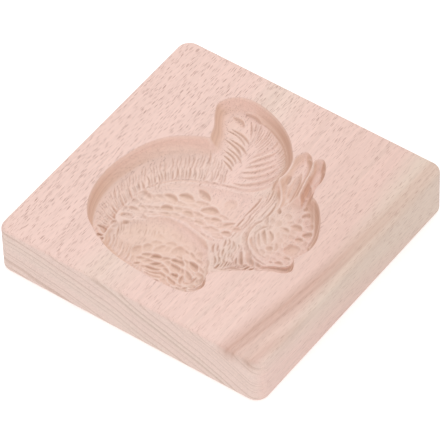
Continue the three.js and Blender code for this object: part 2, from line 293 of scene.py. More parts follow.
# Single scoops of the gouge: the points that each runs through and its full width, in millimetres. A scoop
# is as deep as the group's share of its width.
SCOOPS = {
    "torso": {"share": 0.35, "cuts": [
        ([(-25.5, -9.6), (-23.3, -8.4), (-19.9, -8.3)], 2),
        ([(-19.3, -4.8), (-16.7, -4.2), (-13.5, -4.9)], 2.2),
        ([(-15.3, -2.1), (-12.8, -1.2), (-9.8, -1.3)], 2.2),
        ([(-11.2, 2.9), (-8.7, 2.4), (-5.4, 1.4)], 2),
        ([(-5.8, -3.6), (-3.8, -1.7), (0, -1.3)], 2.6),
        ([(-16.8, -10.1), (-14.9, -8.4), (-12.2, -8.1)], 2.3),
        ([(-15.8, -12.2), (-13.6, -10.8), (-10.7, -10)], 1.9),
        ([(-10.9, -7.2), (-8.8, -6.4), (-5.7, -6.8)], 2.2),
        ([(-23.3, -13.5), (-21.7, -12.8), (-19.7, -12.6)], 1.4),
        ([(-23.4, -16.4), (-21.6, -15.5), (-19.2, -15.2)], 1.4),
        ([(2.2, -6.7), (4.5, -3.9), (6.6, -1.5)], 1.7),
        ([(-1.4, -9.3), (0, -8.3), (2.3, -8.1)], 1.4),
        ([(3.7, -10.7), (5.3, -9.7), (7.6, -9.4)], 1.4),
        ([(-4.9, -8.8), (-3.8, -7.7), (-0.9, -7.9)], 1.8),
        ([(-1.5, -5.5), (0.1, -4.1), (2.5, -3.3)], 2),
        ([(4.9, -7.8), (6.3, -6.8), (8.6, -6.8)], 1.8),
        ([(7.6, -4.3), (8.7, -3.4), (10.2, -3.2)], 1.5),
        ([(-24.6, -20.2), (-23.2, -18.6), (-20.5, -17.9)], 2),
        ([(-24.6, -16.5), (-22.8, -15.1), (-19.7, -14.9)], 2.1),
        ([(-22.2, -22.4), (-21.4, -21.1), (-20.6, -19.9)], 1.3),
        ([(-24.6, -25.2), (-24.4, -23.7), (-23.7, -22.5)], 2),
        ([(-23.4, -13.5), (-21.7, -12.9), (-19.4, -12.9)], 1.6),
        ([(-26.4, -9.5), (-24.4, -8.5), (-21.6, -8.3)], 2.2),
        ([(-18.2, -15.4), (-16.4, -13.5), (-14, -12.4)], 1.4),
        ([(4.8, -7.8), (6.6, -6.8), (8.4, -7.8)], 1.8),
        ([(6.2, -4.6), (8.2, -3.6), (10.2, -3.6)], 1.8),
        ([(-24.2, -16.8), (-21.5, -15.8), (-18.6, -15.2)], 1.6),
        ([(-17.8, -14.2), (-16.3, -13.5), (-14.8, -13.2)], 1.8),
        ([(-24.2, -19.8), (-22.2, -18.6), (-20, -18)], 1.6),
        ([(-22.2, -22.6), (-21.6, -21.4), (-21.2, -20)], 1),
        ([(-24.4, -26), (-23.6, -24.2), (-23.2, -22.6)], 1.4),
        ([(0, -12.4), (1.4, -12), (3, -12.6)], 1.4),
    ]},
    "torso_edge": {"share": 0.34, "cuts": [
        ([(-26.8, -12.6), (-25.3, -7.2), (-23.2, -2.5), (-20.6, 0.8), (-17.4, 3.3), (-12.8, 5.6),
          (-8.2, 7.5), (-4, 8.6), (0, 9.6), (3, 11.2)], 1.3),
    ]},
    "torso_dimple": {"share": 0.1, "cuts": [
        ([(-1.4, 3), (0.7, 3.3), (2.8, 2.8)], 3.8),
    ]},
    "haunch_band": {"share": 0.09, "cuts": [
        ([(-18.8, -31), (-19, -25.1), (-18, -21), (-15, -17.3), (-10, -14.9), (-4.8, -14.1), (0.8, -15.3),
          (5.8, -18.2), (9.1, -21.5), (10.6, -26)], 4.4),
    ]},
    "haunch_broad": {"share": 0.2, "cuts": [
        ([(-3.4, -22.6), (-1.7, -20.6), (1, -20.2)], 3.1),
        ([(-12.6, -30.2), (-12.5, -27.6), (-12, -25)], 2.6),
        ([(-10.9, -27), (-10.5, -24.8), (-9.8, -22.4)], 2.4),
        ([(-8, -25.2), (-7, -23), (-5.8, -20.8)], 2.4),
        ([(-5.6, -23.6), (-5, -21.8), (-4, -19.6)], 1.8),
        ([(-8.4, -16.5), (-6.4, -15.9), (-4.2, -15.9)], 1.8),
        ([(-3.9, -14.7), (-2, -14.1), (0.2, -14.1)], 1.6),
        ([(-14.2, -19), (-12.6, -17.2), (-10.8, -16)], 1.6),
        ([(7, -19), (8.6, -20.6), (10, -22.6)], 2),
        ([(2.8, -17.4), (4.6, -18.5), (6.2, -20)], 2.4),
        ([(3, -15.6), (5.2, -16.2), (6.8, -17.4)], 1.8),
    ]},
    "haunch": {"share": 0.5, "cuts": [
        ([(-2, -24.8), (1.4, -24.1), (3.5, -25)], 1.9),
        ([(-1.4, -26.1), (1.5, -26.6), (4.2, -27.7)], 2),
        ([(1.6, -29.5), (3, -29.4), (4.5, -30)], 1.5),
        ([(1.2, -31), (3.6, -32), (6.3, -33.2)], 1.5),
        ([(-5.4, -34.2), (-2, -33.6), (1.6, -31.6)], 1.5),
        ([(-8.1, -27.8), (-6.4, -26.3), (-4, -25.6)], 1.7),
        ([(-6.9, -29.8), (-4.6, -28.9), (-3, -27.4)], 1.4),
        ([(-7.2, -31.6), (-3.7, -30.9), (-1.4, -29.4)], 1.3),
        ([(-6.1, -33), (-3, -32.4), (0.4, -30.6)], 1.2),
        ([(-10.4, -33.1), (-9.4, -32), (-8.5, -30.8)], 1.2),
        ([(3.3, -22.1), (5.7, -23.2), (8.5, -24.8)], 2),
        ([(4.5, -25.6), (6.8, -27.4), (9, -29.4)], 1.7),
        ([(7.2, -32), (6.1, -29.8), (5.2, -27)], 1.3),
        ([(6.4, -34.2), (8.5, -33.8), (10.2, -31.6)], 1.3),
        ([(6.2, -30.9), (9.2, -29.5), (9.9, -25.6)], 1.3),
        ([(11.6, -30.6), (11.9, -27.8), (10.3, -24.6)], 1.2),
        ([(10.2, -33.4), (12.8, -31.8), (13.7, -28.4), (11.8, -24.7)], 1.3),
        ([(2, -36), (4.2, -35.2), (6.4, -35.6)], 1.2),
        ([(-1.6, -36.2), (0.2, -35.2), (1.8, -35.2)], 1.2),
    ]},
    "tail_tip": {"share": 0.55, "cuts": [
        ([(-28.4, -27.2), (-26, -27), (-24, -29.2)], 1.5),
        ([(-25.8, -30.4), (-24.6, -30.8), (-23.6, -29.8)], 1.3),
        ([(-23.4, -30.8), (-22.9, -32), (-22.3, -33)], 1.1),
    ]},
    "plume": {"share": 0.32, "cuts": [
        ([(-19.9, 33.3), (-17.4, 33.3), (-14.3, 32)], 1.6),
        ([(-17.4, 36.4), (-13.8, 36.6), (-10, 35.6)], 1.2),
        ([(-5.1, 22.7), (-3.6, 26.2), (-2, 30), (-1.6, 33)], 1.4),
        ([(-4.7, 20.1), (-2.4, 23.8), (-0.4, 27.1), (0.6, 30.6)], 1.5),
        ([(-4.7, 18), (-1.8, 21), (0.8, 24.7), (2.1, 29)], 1.5),
        ([(-4.8, 15.7), (-0.6, 18.6), (2.2, 22.8), (3.4, 27.3)], 1.6),
        ([(-3.2, 14), (0.8, 16.6), (3.6, 20.8), (4.6, 25.6)], 1.8),
        ([(-4.2, 10.6), (-0.4, 11.8), (2.9, 14.6), (5.6, 18.9), (6.4, 24)], 1.9),
        ([(-5.6, 8.2), (-0.6, 9.4), (3.6, 12.3), (6.7, 16.5), (7.7, 20.6)], 2),
    ]},
    "throat": {"share": 0.45, "cuts": [
        ([(21, -11.7), (22.6, -12.6), (24, -13.9)], 1.7),
        ([(23.5, -11.5), (25, -11.9), (26.9, -11.7)], 1.5),
        ([(18, -16.2), (19.6, -17.4), (21.6, -18.6)], 1.3),
        ([(22, -15.4), (23.4, -16.2), (25, -17.2)], 1.2),
        ([(15.2, -15.6), (16.2, -16.6), (16.6, -18)], 0.9),
    ]},
    "jaw": {"share": 0.42, "cuts": [
        ([(14.4, 6), (11.8, 1.6), (11.4, -2.4), (13.4, -6.8), (16.4, -9.6), (20, -11), (24.2, -11.2),
          (28.4, -11)], 1.5),
        ([(16.6, 4.2), (14.4, 0.8), (14, -1.8), (15.6, -4.8), (17.8, -7), (20.6, -8.2), (24, -8.4)], 1.1),
        ([(13.2, -2.2), (15.1, -5.2), (18.4, -8)], 1.1),
        ([(14, -0.2), (16.1, -3.2), (18.7, -5.9)], 1.2),
        ([(15.1, 1.5), (16.8, -1.3), (19.6, -3.9)], 1.3),
        ([(16.7, 1.9), (18.8, 0.1), (19.9, -2.3)], 1.2),
    ]},
    "head": {"share": 0.34, "cuts": [
        ([(20, -3.1), (20.9, -4), (21.7, -5.4)], 1.9),
        ([(21.4, -0.8), (22.5, -2.8), (22.8, -4.9)], 1.3),
        ([(19.1, 4.8), (20.6, 4.9), (22.7, 4.5)], 1.3),
        ([(21, 6.9), (22.8, 7.5), (25.4, 7.1)], 2.1),
        ([(25.1, 3), (26.5, 3.8), (28.2, 3.9)], 1.6),
        ([(26.3, 5.6), (27.7, 6.6), (29.7, 6.8)], 1.9),
        ([(22.4, 11.2), (23.1, 12.5), (24.8, 12.5)], 1.5),
        ([(19.1, 15.8), (19.6, 16.8), (20.1, 17.8)], 1),
        ([(12.7, 6.4), (13.7, 4.6), (15.3, 2.8)], 1.4),
        ([(26.7, -5.1), (27.9, -4.8), (29.4, -5)], 1.3),
        ([(25.6, -8.4), (27.1, -7.9), (29, -8)], 1.5),
        ([(28.6, -12.6), (31, -12), (33.4, -11.2)], 1.3),
        ([(30.4, -14.4), (32.6, -13.2), (34.4, -11.8)], 1),
        ([(24.2, -9.1), (24.9, -8.9), (25.7, -8.9)], 0.8),
        ([(31.4, -9.2), (31.6, -7.2), (30.6, -5)], 0.9),
        ([(29.8, 2.6), (31.4, 1.2), (32.2, -1)], 1),
    ]},
    "eye": {"share": 0.2, "cuts": [
        ([(25, -2.9), (27.3, -0.9), (29.4, 1)], 3.9),
    ]},
    "ears": {"share": 0.34, "cuts": [
        ([(13.1, 24.9), (13.9, 20.8), (14.9, 16.3), (16.5, 12.8)], 2.1),
        ([(11.4, 21.8), (11.4, 20), (12, 17.8)], 1.2),
        ([(17.4, 22.4), (18.6, 20), (19.9, 17.6)], 2.1),
        ([(18.4, 18.4), (18.9, 17), (19.6, 15.6)], 1.2),
        ([(18.6, 28), (20, 25), (20.4, 21.6), (20.2, 18)], 2.2),
        ([(11.8, 29.2), (14, 27.2), (15.2, 24.2), (15.6, 21)], 2),
        ([(20.8, 14.4), (21.6, 14.2), (22.6, 14.6)], 1.1),
        ([(14.6, 10.4), (15.2, 9.4), (15.8, 8.4)], 1.2),
    ]},
    "throat_foot": {"share": 0.5, "cuts": [
        ([(21.6, -14.7), (24.4, -12.6), (26.6, -11.6), (28.6, -10.4), (30.6, -9.8), (31.9, -8.4),
          (31.5, -6.2), (30.4, -4.8)], 2.2),
        ([(11.2, -21), (14.7, -19.7), (17, -17.8), (19.4, -16.8), (22, -15)], 1.4),
        ([(16.4, -8.2), (18.6, -11.4), (22.4, -14.6)], 1.7),
        ([(15.2, -10.6), (16.8, -13.6), (19.6, -16.6)], 1.1),
    ]},
    "head_foot": {"share": 0.45, "cuts": [
        ([(23.6, 16.4), (27, 12.8), (29.4, 9), (30.6, 5), (30.6, 0)], 1.3),
    ]},
    "plume_wall": {"share": 0.3, "cuts": [
        ([(-19, 37), (-14, 37.8), (-8, 36.7), (-2, 34.2), (3.4, 30.3), (7.4, 25.6), (8.9, 20.6)], 0.5),
        ([(-12, 38), (-6, 36.6), (0, 33.6), (5, 29.4), (8.6, 24.2)], 0.4),
        ([(-16, 36.2), (-9, 35.8), (-3, 33.6), (2, 30.4), (6, 25.8), (7.6, 21)], 0.5),
        ([(-5, 35.6), (1, 32.4), (5.6, 28.2)], 0.4),
    ]},
}

# Patches of the coat that are filled with scattered scoops, all in millimetres and degrees
PATCHES = {
    "back": {
        "spacing": 2.5, "length": 6, "width": 2.8, "depth": 0.44, "angle": 16, "spread": 9,
        "outline": [(-24.8, -14), (-23.6, -10.4), (-18.8, -6), (-14.4, -3.4), (-10, 0.4), (-4.8, -0.8),
                    (-4, -11), (-9, -11), (-16, -13), (-21, -18), (-25, -20)],
    },
    "flank": {
        "spacing": 2.5, "length": 5.6, "width": 2.7, "depth": 0.42, "angle": -6, "spread": 12,
        "outline": [(-4.8, -0.8), (1.6, -1.4), (6, -3.6), (6.8, -7), (5, -12.4), (-4, -11.4)],
    },
    "thigh_left": {
        "spacing": 2, "length": 4.8, "width": 2, "depth": 0.42, "angle": 30, "spread": 10,
        "outline": [(-10, -28), (-7, -26), (-3, -24.6), (-2, -30), (-1, -35.6), (-6, -35.6), (-10, -31)],
    },
    "thigh_right": {
        "spacing": 2, "length": 4.8, "width": 2.1, "depth": 0.5, "angle": -20, "spread": 12,
        "outline": [(-3, -22), (0, -19), (6, -20), (11, -25), (12, -31), (8, -36), (-1, -35.6), (-2, -30)],
    },
    "thigh_top": {
        "spacing": 2.6, "length": 4.4, "width": 2.8, "depth": 0.26, "angle": 20, "spread": 20,
        "outline": [(-12, -21), (-8, -16.6), (-2, -15.8), (3, -17), (0, -19), (-3, -22), (-8, -23)],
    },
    "face": {
        "spacing": 2, "length": 3.2, "width": 2.4, "depth": 0.24, "angle": -35, "spread": 50,
        "outline": [(17, 8), (21, 12), (27, 10), (31, 4), (31, -4), (28, -9), (21, -9), (14, -5), (13, 2)],
    },
}


def catmull_rom(points, along, closed=False):
    """The place at a share along a smooth line through the points, with even spacing from point to point."""
    count = len(points)
    place = (count if closed else count - 1) * along
    start = min(int(place), count - 1 if closed else count - 2)
    weight = place - start
    if closed:
        before, here, there, after = (points[(start + step) % count] for step in (-1, 0, 1, 2))
    else:
        here, there = points[start], points[start + 1]
        before = points[start - 1] if start > 0 else here * 2 - there
        after = points[start + 2] if start + 2 < count else there * 2 - here
    gap = math.sqrt((there - here).length)
    gap_before = math.sqrt((here - before).length)
    gap_after = math.sqrt((after - there).length)
    slope = (there - here) / gap
    leave = ((here - before) / gap_before - (there - before) / (gap_before + gap) + slope) * gap
    arrive = (slope - (after - here) / (gap + gap_after) + (after - there) / gap_after) * gap
    square = -3 * here + 3 * there - 2 * leave - arrive
    cube = 2 * here - 2 * there + leave + arrive
    return here + leave * weight + square * weight**2 + cube * weight**3


def shown(name, data):
    """A new object in the scene that shows a mesh, a curve, a light or a camera."""
    piece = bpy.data.objects.new(name, data)
    bpy.context.scene.collection.objects.link(piece)
    return piece


def mesh_object(name, vertices, faces):
    """A new object that shows a mesh of these vertices and faces."""
    mesh = bpy.data.meshes.new(name)
    mesh.from_pydata(vertices, [], faces)
    mesh.validate()
    return shown(name, mesh)


def band_faces(band, around):
    """The faces between one ring of points and the next, in a stack of rings of this many points each."""
    here, after = band * around, (band + 1) * around
    return [(here + i, here + (i + 1) % around, after + (i + 1) % around, after + i) for i in range(around)]


def hollow_surface(name, hollow):
    """The walls and floor of one hollow, which start a little above the top face."""
    corners = [hollow["from"], *hollow["right"], hollow["to"], *reversed(hollow["left"])]
    corners = [Vector((x, y, 0)) * MM for x, y in corners]
    spine = [Vector((x, y, share * hollow["depth"])) * MM for x, y, share in hollow["spine"]]
    right_share = (len(hollow["right"]) + 1) / len(corners)
    around = 2 * STATIONS
    vertices = []
    for ring in range(RINGS + 1):
        level = -ABOVE_TOP + (1 + ABOVE_TOP) * (ring / RINGS) ** RING_CROWDING
        for i in range(around):
            if i <= STATIONS:
                along = right_share * i / STATIONS
            else:
                along = right_share + (1 - right_share) * (i / STATIONS - 1)
            rim = catmull_rom(corners, along, closed=True)
            low = catmull_rom(spine, (i if i <= STATIONS else around - i) / STATIONS)
            place = rim.lerp(low, level)
            sideways = math.sin(math.pi * i / STATIONS)
            steeper = hollow.get("right_steeper", 0) if sideways > 0 else hollow.get("left_steeper", 0)
            fall = 1 - (1 - level) ** (hollow["steepness"] * (1 + steeper * abs(sideways)))
            vertices.append((place.x, place.y, TOP - low.z * fall))
    faces = [(a, d, c, b) for ring in range(RINGS) for a, b, c, d in band_faces(ring, around)]
    return mesh_object(f"hollow_{name}", vertices, faces)


def rounded_square(half, radius):
    """The points of a square with rounded corners, anticlockwise."""
    points = []
    for turns, (to_x, to_y) in enumerate([(1, 1), (-1, 1), (-1, -1), (1, -1)]):
        for i in range(CORNER_STEPS + 1):
            angle = (turns + i / CORNER_STEPS) * math.pi / 2
            points.append((to_x * (half - radius) + radius * math.cos(angle),
                           to_y * (half - radius) + radius * math.sin(angle)))
    return points


def plain_board(corner_radius, edge_rounding):
    """The uncarved board: a closed block with rounded corners and eased edges."""
    half = (BOARD_HIGH.x - BOARD_LOW.x) / 2
    profile = []
    for i in range(EDGE_STEPS + 1):
        angle = i / EDGE_STEPS * math.pi / 2
        profile.append((edge_rounding * (1 - math.sin(angle)), edge_rounding * (1 - math.cos(angle))))
    profile += [(inset, TOP - height) for inset, height in reversed(profile)]
    vertices = []
    for inset, height in profile:
        for x, y in rounded_square(half - inset, corner_radius - inset):
            vertices.append((x, y, height))
    around = 4 * (CORNER_STEPS + 1)
    faces = [tuple(reversed(range(around)))]
    for band in range(len(profile) - 1):
        faces += band_faces(band, around)
    faces.append(tuple(range(len(vertices) - around, len(vertices))))
    return mesh_object(BOARD_NAME, vertices, faces)


def flat_outline(name, points):
    """One flat face with this outline."""
    return mesh_object(name, [(x * MM, y * MM, 0) for x, y in points], [tuple(range(len(points)))])


def line_object(name, lines):
    """A curve object with a smooth spline through each list of points. Its radius is the size of its cut."""
    curve = bpy.data.curves.new(name, "CURVE")
    curve.dimensions = "3D"
    for points, size in lines:
        steps = CUT_STEPS * (len(points) - 1)
        spline = curve.splines.new("POLY")
        spline.points.add(steps)
        corners = [Vector((x, y, 0)) * MM for x, y in points]
        for i, point in enumerate(spline.points):
            point.co = (*catmull_rom(corners, i / steps), 1)
            point.radius = size
    return shown(name, curve)


def row_lines(row):
    """A straight line for each stroke of a row, from one rail to the like place on the other."""
    rails = [[Vector((x, y, 0)) for x, y in rail] for rail in row["rails"]]
    lines = []
    for i in range(row["count"]):
        ends = [catmull_rom(rail, i / (row["count"] - 1)) for rail in rails]
        lines.append(([(end.x, end.y) for end in ends], 1))
    return lines


def add_node(tree, kind, inputs=None, **settings):
    """Adds a node with its settings. An input gets a value, a socket, a node's first output, or a list."""
    node = tree.nodes.new(kind)
    for name, value in settings.items():
        setattr(node, name, value)
    for key, value in (inputs or {}).items():
        for source in value if isinstance(value, list) else [value]:
            if isinstance(source, bpy.types.Node):
                source = source.outputs[0]
            if isinstance(source, bpy.types.NodeSocket):
                tree.links.new(source, node.inputs[key])
            else:
                node.inputs[key].default_value = source
    return node


def new_tree(name, sizes):
    """A node tree from geometry to geometry, what adds a node to it, and its inputs, which are the sizes."""
    tree = bpy.data.node_groups.new(name, "GeometryNodeTree")
    tree.interface.new_socket("Geometry", in_out="INPUT", socket_type="NodeSocketGeometry")
    tree.interface.new_socket("Geometry", in_out="OUTPUT", socket_type="NodeSocketGeometry")
    for label, value in sizes.items():
        kind = "NodeSocketInt" if isinstance(value, int) else "NodeSocketFloat"
        tree.interface.new_socket(label, in_out="INPUT", socket_type=kind).default_value = value
    return tree, partial(add_node, tree), tree.nodes.new("NodeGroupInput").outputs


def plain_result(piece, tree, sizes):
    """Runs a node tree on a piece and leaves an object with only the plain mesh that comes out."""
    modifier = piece.modifiers.new(tree.name, "NODES")
    modifier.node_group = tree
    for socket in tree.interface.items_tree:
        if socket.in_out == "INPUT" and socket.name in sizes:
            modifier[socket.identifier] = sizes[socket.name]
    graph = bpy.context.evaluated_depsgraph_get()
    mesh = bpy.data.meshes.new_from_object(piece.evaluated_get(graph), depsgraph=graph)
    name = piece.name
    bpy.data.objects.remove(piece)
    return shown(name, mesh)


def bow_of_lines(add):
    """How far along its line each point lies, and a bow that is nothing at both ends and one halfway."""
    along = add("GeometryNodeSplineParameter").outputs["Factor"]
    turn = add("ShaderNodeMath", {0: along, 1: math.pi}, operation="MULTIPLY")
    return along, add("ShaderNodeMath", {0: turn}, operation="SINE")


def two_ends(add, length):
    """The two ends of a line of this length across the middle."""
    return [add("ShaderNodeVectorMath", {0: (side, 0, 0), "Scale": length}, operation="SCALE")
            for side in (-0.5, 0.5)]


def gouged_lines(add, lines, given):
    """Runs a gouge along some lines. Its trough is widest and deepest halfway, and leans to one side."""
    sides = two_ends(add, given["Width"])
    low = add("ShaderNodeCombineXYZ", {
        0: add("ShaderNodeMath", {0: given["Width"], 1: given["Lean"]}, operation="MULTIPLY"),
        1: add("ShaderNodeMath", {0: given["Depth"], 1: 2.0}, operation="MULTIPLY"),
    })
    profile = add("GeometryNodeCurveQuadraticBezier", {
        "Resolution": TROUGH_STEPS, "Start": sides[0], "Middle": low, "End": sides[1],
    })
    bow = add("ShaderNodeMath", {0: bow_of_lines(add)[1], 1: 0.0}, operation="MAXIMUM")
    taper = add("ShaderNodeMath", {0: bow, 1: TAPER}, operation="POWER")
    size = add("ShaderNodeMath", {0: taper, 1: add("GeometryNodeInputRadius")}, operation="MULTIPLY")
    upright = add("GeometryNodeSetCurveNormal", {0: lines}, mode="Z_UP")
    troughs = add("GeometryNodeCurveToMesh", {"Curve": upright, "Profile Curve": profile, "Scale": size})
    return add("GeometryNodeRealizeInstances", {0: troughs})


def line_cuts_tree():
    """Gouge cuts along the splines of a curve, each slid, stretched, bowed and sized a little by chance."""
    tree, add, given = new_tree("Gouge cuts along lines", {
        "Points": 13, "Width": 1 * MM, "Depth": 0.5 * MM, "Lean": 0.2, "Bend": 0.1, "Jitter": 0.2, "Seed": 1,
    })
    fine = add("GeometryNodeResampleCurve", {"Curve": given["Geometry"], "Count": given["Points"]})
    spline = add("GeometryNodeCurveOfPoint")
    spread = add("ShaderNodeMath", {0: given["Jitter"], 1: 0.5}, operation="MULTIPLY")
    low = add("ShaderNodeMath", {0: spread, 1: -1.0}, operation="MULTIPLY")
    chances = []
    for extra in range(4):
        seed = add("ShaderNodeMath", {0: given["Seed"], 1: float(extra)}, operation="ADD")
        chance = add("FunctionNodeRandomValue", {2: low, 3: spread, "ID": spline, "Seed": seed})
        chances.append(chance.outputs[1])
    along, bow = bow_of_lines(add)
    centred = add("ShaderNodeMath", {0: along, 1: 0.5}, operation="SUBTRACT")
    slid = add("ShaderNodeMath", {0: centred, 1: chances[0], 2: chances[1]}, operation="MULTIPLY_ADD")
    bend = add("ShaderNodeMath", {0: chances[2], 1: 0.5, 2: given["Bend"]}, operation="MULTIPLY_ADD")
    bowed = add("ShaderNodeMath", {0: bow, 1: bend}, operation="MULTIPLY")
    tangent = add("GeometryNodeInputTangent")
    left = add("ShaderNodeVectorMath", {0: (0, 0, 1), 1: tangent}, operation="CROSS_PRODUCT")
    forward = add("ShaderNodeVectorMath", {0: tangent, "Scale": slid}, operation="SCALE")
    move = add("ShaderNodeVectorMath", {0: left, 1: bowed, 2: forward}, operation="MULTIPLY_ADD")
    length = add("GeometryNodeSplineLength")
    offset = add("ShaderNodeVectorMath", {0: move, "Scale": length}, operation="SCALE")
    moved = add("GeometryNodeSetPosition", {"Geometry": fine, "Offset": offset})
    own_size = add("GeometryNodeInputRadius")
    size = add("ShaderNodeMath", {0: own_size, 1: chances[3], 2: own_size}, operation="MULTIPLY_ADD")
    sized = add("GeometryNodeSetCurveRadius", {"Curve": moved, "Radius": size})
    add("NodeGroupOutput", {0: gouged_lines(add, sized, given)})
    return tree


def scattered_cuts_tree():
    """Short gouge cuts scattered over a flat outline, about as far apart as Spacing and turned by Angle."""
    tree, add, given = new_tree("Scattered gouge cuts", {
        "Spacing": 2.4 * MM, "Length": 4 * MM, "Width": 2 * MM, "Depth": 0.4 * MM, "Lean": 0.2, "Angle": 0.0,
        "Spread": 0.3, "Seed": 1, "Points": 9, "Most per square metre": 1e6,
    })
    points = add("GeometryNodeDistributePointsOnFaces", {
        "Mesh": given["Geometry"], "Distance Min": given["Spacing"],
        "Density Max": given["Most per square metre"], "Seed": given["Seed"],
    }, distribute_method="POISSON")
    low = add("ShaderNodeMath", {0: given["Angle"], 1: given["Spread"]}, operation="SUBTRACT")
    high = add("ShaderNodeMath", {0: given["Angle"], 1: given["Spread"]}, operation="ADD")
    turn = add("FunctionNodeRandomValue", {2: low, 3: high, "Seed": given["Seed"]}).outputs[1]
    euler = add("ShaderNodeCombineXYZ", {2: turn})
    ends = two_ends(add, given["Length"])
    line = add("GeometryNodeCurvePrimitiveLine", {"Start": ends[0], "End": ends[1]})
    fine = add("GeometryNodeResampleCurve", {"Curve": line, "Count": given["Points"]})
    rotation = add("FunctionNodeEulerToRotation", {0: euler})
    lines = add("GeometryNodeInstanceOnPoints", {"Points": points, "Instance": fine, "Rotation": rotation})
    plain = add("GeometryNodeRealizeInstances", {0: lines})
    spline = add("GeometryNodeCurveOfPoint")
    size = add("FunctionNodeRandomValue", {2: 0.7, 3: 1.2, "ID": spline, "Seed": given["Seed"]}).outputs[1]
    sized = add("GeometryNodeSetCurveRadius", {"Curve": plain, "Radius": size})
    add("NodeGroupOutput", {0: gouged_lines(add, sized, given)})
    return tree


def gouge_cuts(gouging, seed):
    """The troughs of all gouge cuts, one object for each row, group and patch of them."""
    along_lines = line_cuts_tree()
    scattered = scattered_cuts_tree()
    pieces = []
    for name, row in STROKE_ROWS.items():
        pieces.append(plain_result(line_object(f"strokes_{name}", row_lines(row)), along_lines, {
            "Width": row["width"] * MM, "Depth": row["depth"] * gouging * MM, "Lean": 0.0,
            "Bend": row["bend"], "Jitter": row["jitter"], "Seed": seed,
        }))
    for name, group in SCOOPS.items():
        pieces.append(plain_result(line_object(f"scoops_{name}", group["cuts"]), along_lines, {
            "Width": SIDE_REACH * MM, "Depth": group["share"] * gouging * MM, "Lean": SCOOP_LEAN,
            "Bend": 0.0, "Jitter": 0.0, "Seed": seed,
        }))
    for name, patch in PATCHES.items():
        pieces.append(plain_result(flat_outline(f"patch_{name}", patch["outline"]), scattered, {
            "Spacing": patch["spacing"] * MM, "Length": patch["length"] * MM, "Width": patch["width"] * MM,
            "Depth": patch["depth"] * gouging * MM, "Lean": SCOOP_LEAN, "Seed": seed,
            "Angle": math.radians(patch["angle"]), "Spread": math.radians(patch["spread"]),
        }))
    return pieces


def look_up(add, target, x, y, attribute=0.0):
    """Looks up from below the board: is a geometry there, how high is it, and what is its attribute."""
    ray = add("GeometryNodeRaycast", {
        "Target Geometry": target,
        "Attribute": attribute,
        "Source Position": add("ShaderNodeCombineXYZ", {0: x, 1: y, 2: -100 * MM}),
        "Ray Direction": (0, 0, 1),
        "Ray Length": 1000 * MM,
    })
    height = add("ShaderNodeSeparateXYZ", {0: ray.outputs["Hit Position"]}).outputs[2]
    return ray.outputs["Is Hit"], height, ray.outputs["Attribute"]


def keep(add, shape, name, value):
    """Stores a value on each point of a shape under a name: the shape, and the value as it was stored."""
    shape = add("GeometryNodeStoreNamedAttribute", {"Geometry": shape, "Name": name, "Value": value})
    return shape, add("GeometryNodeInputNamedAttribute", {"Name": name}).outputs[0]


def joined_hollows(add, given, hollows, ground, x, y):
    """The height of the floor, where the hollows run softly into each other and into the worn ground."""
    lid = add("ShaderNodeMath", {0: given["Lid"], 1: TOP}, operation="ADD")
    heights = []
    for hollow in hollows:
        surface = add("GeometryNodeObjectInfo", {"Object": hollow}).outputs["Geometry"]
        heights.append(look_up(add, surface, x, y)[:2])

    outline = add("GeometryNodeObjectInfo", {"Object": ground}).outputs["Geometry"]
    flat = add("ShaderNodeCombineXYZ", {0: x, 1: y})
    near = add("GeometryNodeProximity", {0: outline, "Sample Position": flat}, target_element="EDGES")
    worn = add("ShaderNodeMapRange", {
        "Value": near.outputs["Distance"],
        "From Max": given["Ridge run-out"],
        "To Max": given["Ridge depth"],
    }, interpolation_type="SMOOTHSTEP")
    worn_height = add("ShaderNodeMath", {0: TOP, 1: worn}, operation="SUBTRACT")
    heights.append((look_up(add, outline, x, y)[0], worn_height))

    rounding = given["Ridge rounding"]
    floor = lid
    for is_there, height in heights:
        here = add("GeometryNodeSwitch", {0: is_there, 1: lid, 2: height}, input_type="FLOAT")
        floor = add("ShaderNodeMath", {0: floor, 1: here, 2: rounding}, operation="SMOOTH_MIN")
    return add("GeometryNodeBlurAttribute", {"Value": floor, "Iterations": given["Smoothing"]})


def gouged_floor(add, given, floor, cuts, x, y):
    """The height of the floor with the gouge cuts in it, which fade out towards the rim."""
    all_cuts = add("GeometryNodeRealizeInstances", {
        0: add("GeometryNodeCollectionInfo", {"Collection": cuts}),
    })
    is_cut, cut_height, _ = look_up(add, all_cuts, x, y)
    below_top = add("ShaderNodeMath", {0: TOP, 1: floor}, operation="SUBTRACT")
    share = add("ShaderNodeMapRange", {"Value": below_top, "From Max": given["Rim"]})
    cut = add("GeometryNodeSwitch", {0: is_cut, 2: cut_height}, input_type="FLOAT")
    return add("ShaderNodeMath", {0: share, 1: cut, 2: floor}, operation="MULTIPLY_ADD")


def body_above(add, bottom, x, y):
    """A closed body that stands on a surface and ends above the board."""
    walls = add("GeometryNodeExtrudeMesh", {
        "Mesh": bottom, "Offset": (0, 0, 1), "Offset Scale": BODY_RISE, "Individual": False,
    })
    roof = add("GeometryNodeSetPosition", {
        "Geometry": walls,
        "Selection": walls.outputs["Top"],
        "Position": add("ShaderNodeCombineXYZ", {0: x, 1: y, 2: ROOF}),
    })
    under = add("GeometryNodeFlipFaces", {0: bottom})
    both = add("GeometryNodeJoinGeometry", {0: [under, roof]})
    return add("GeometryNodeMergeByDistance", {"Geometry": both, "Distance": 0.001 * MM})


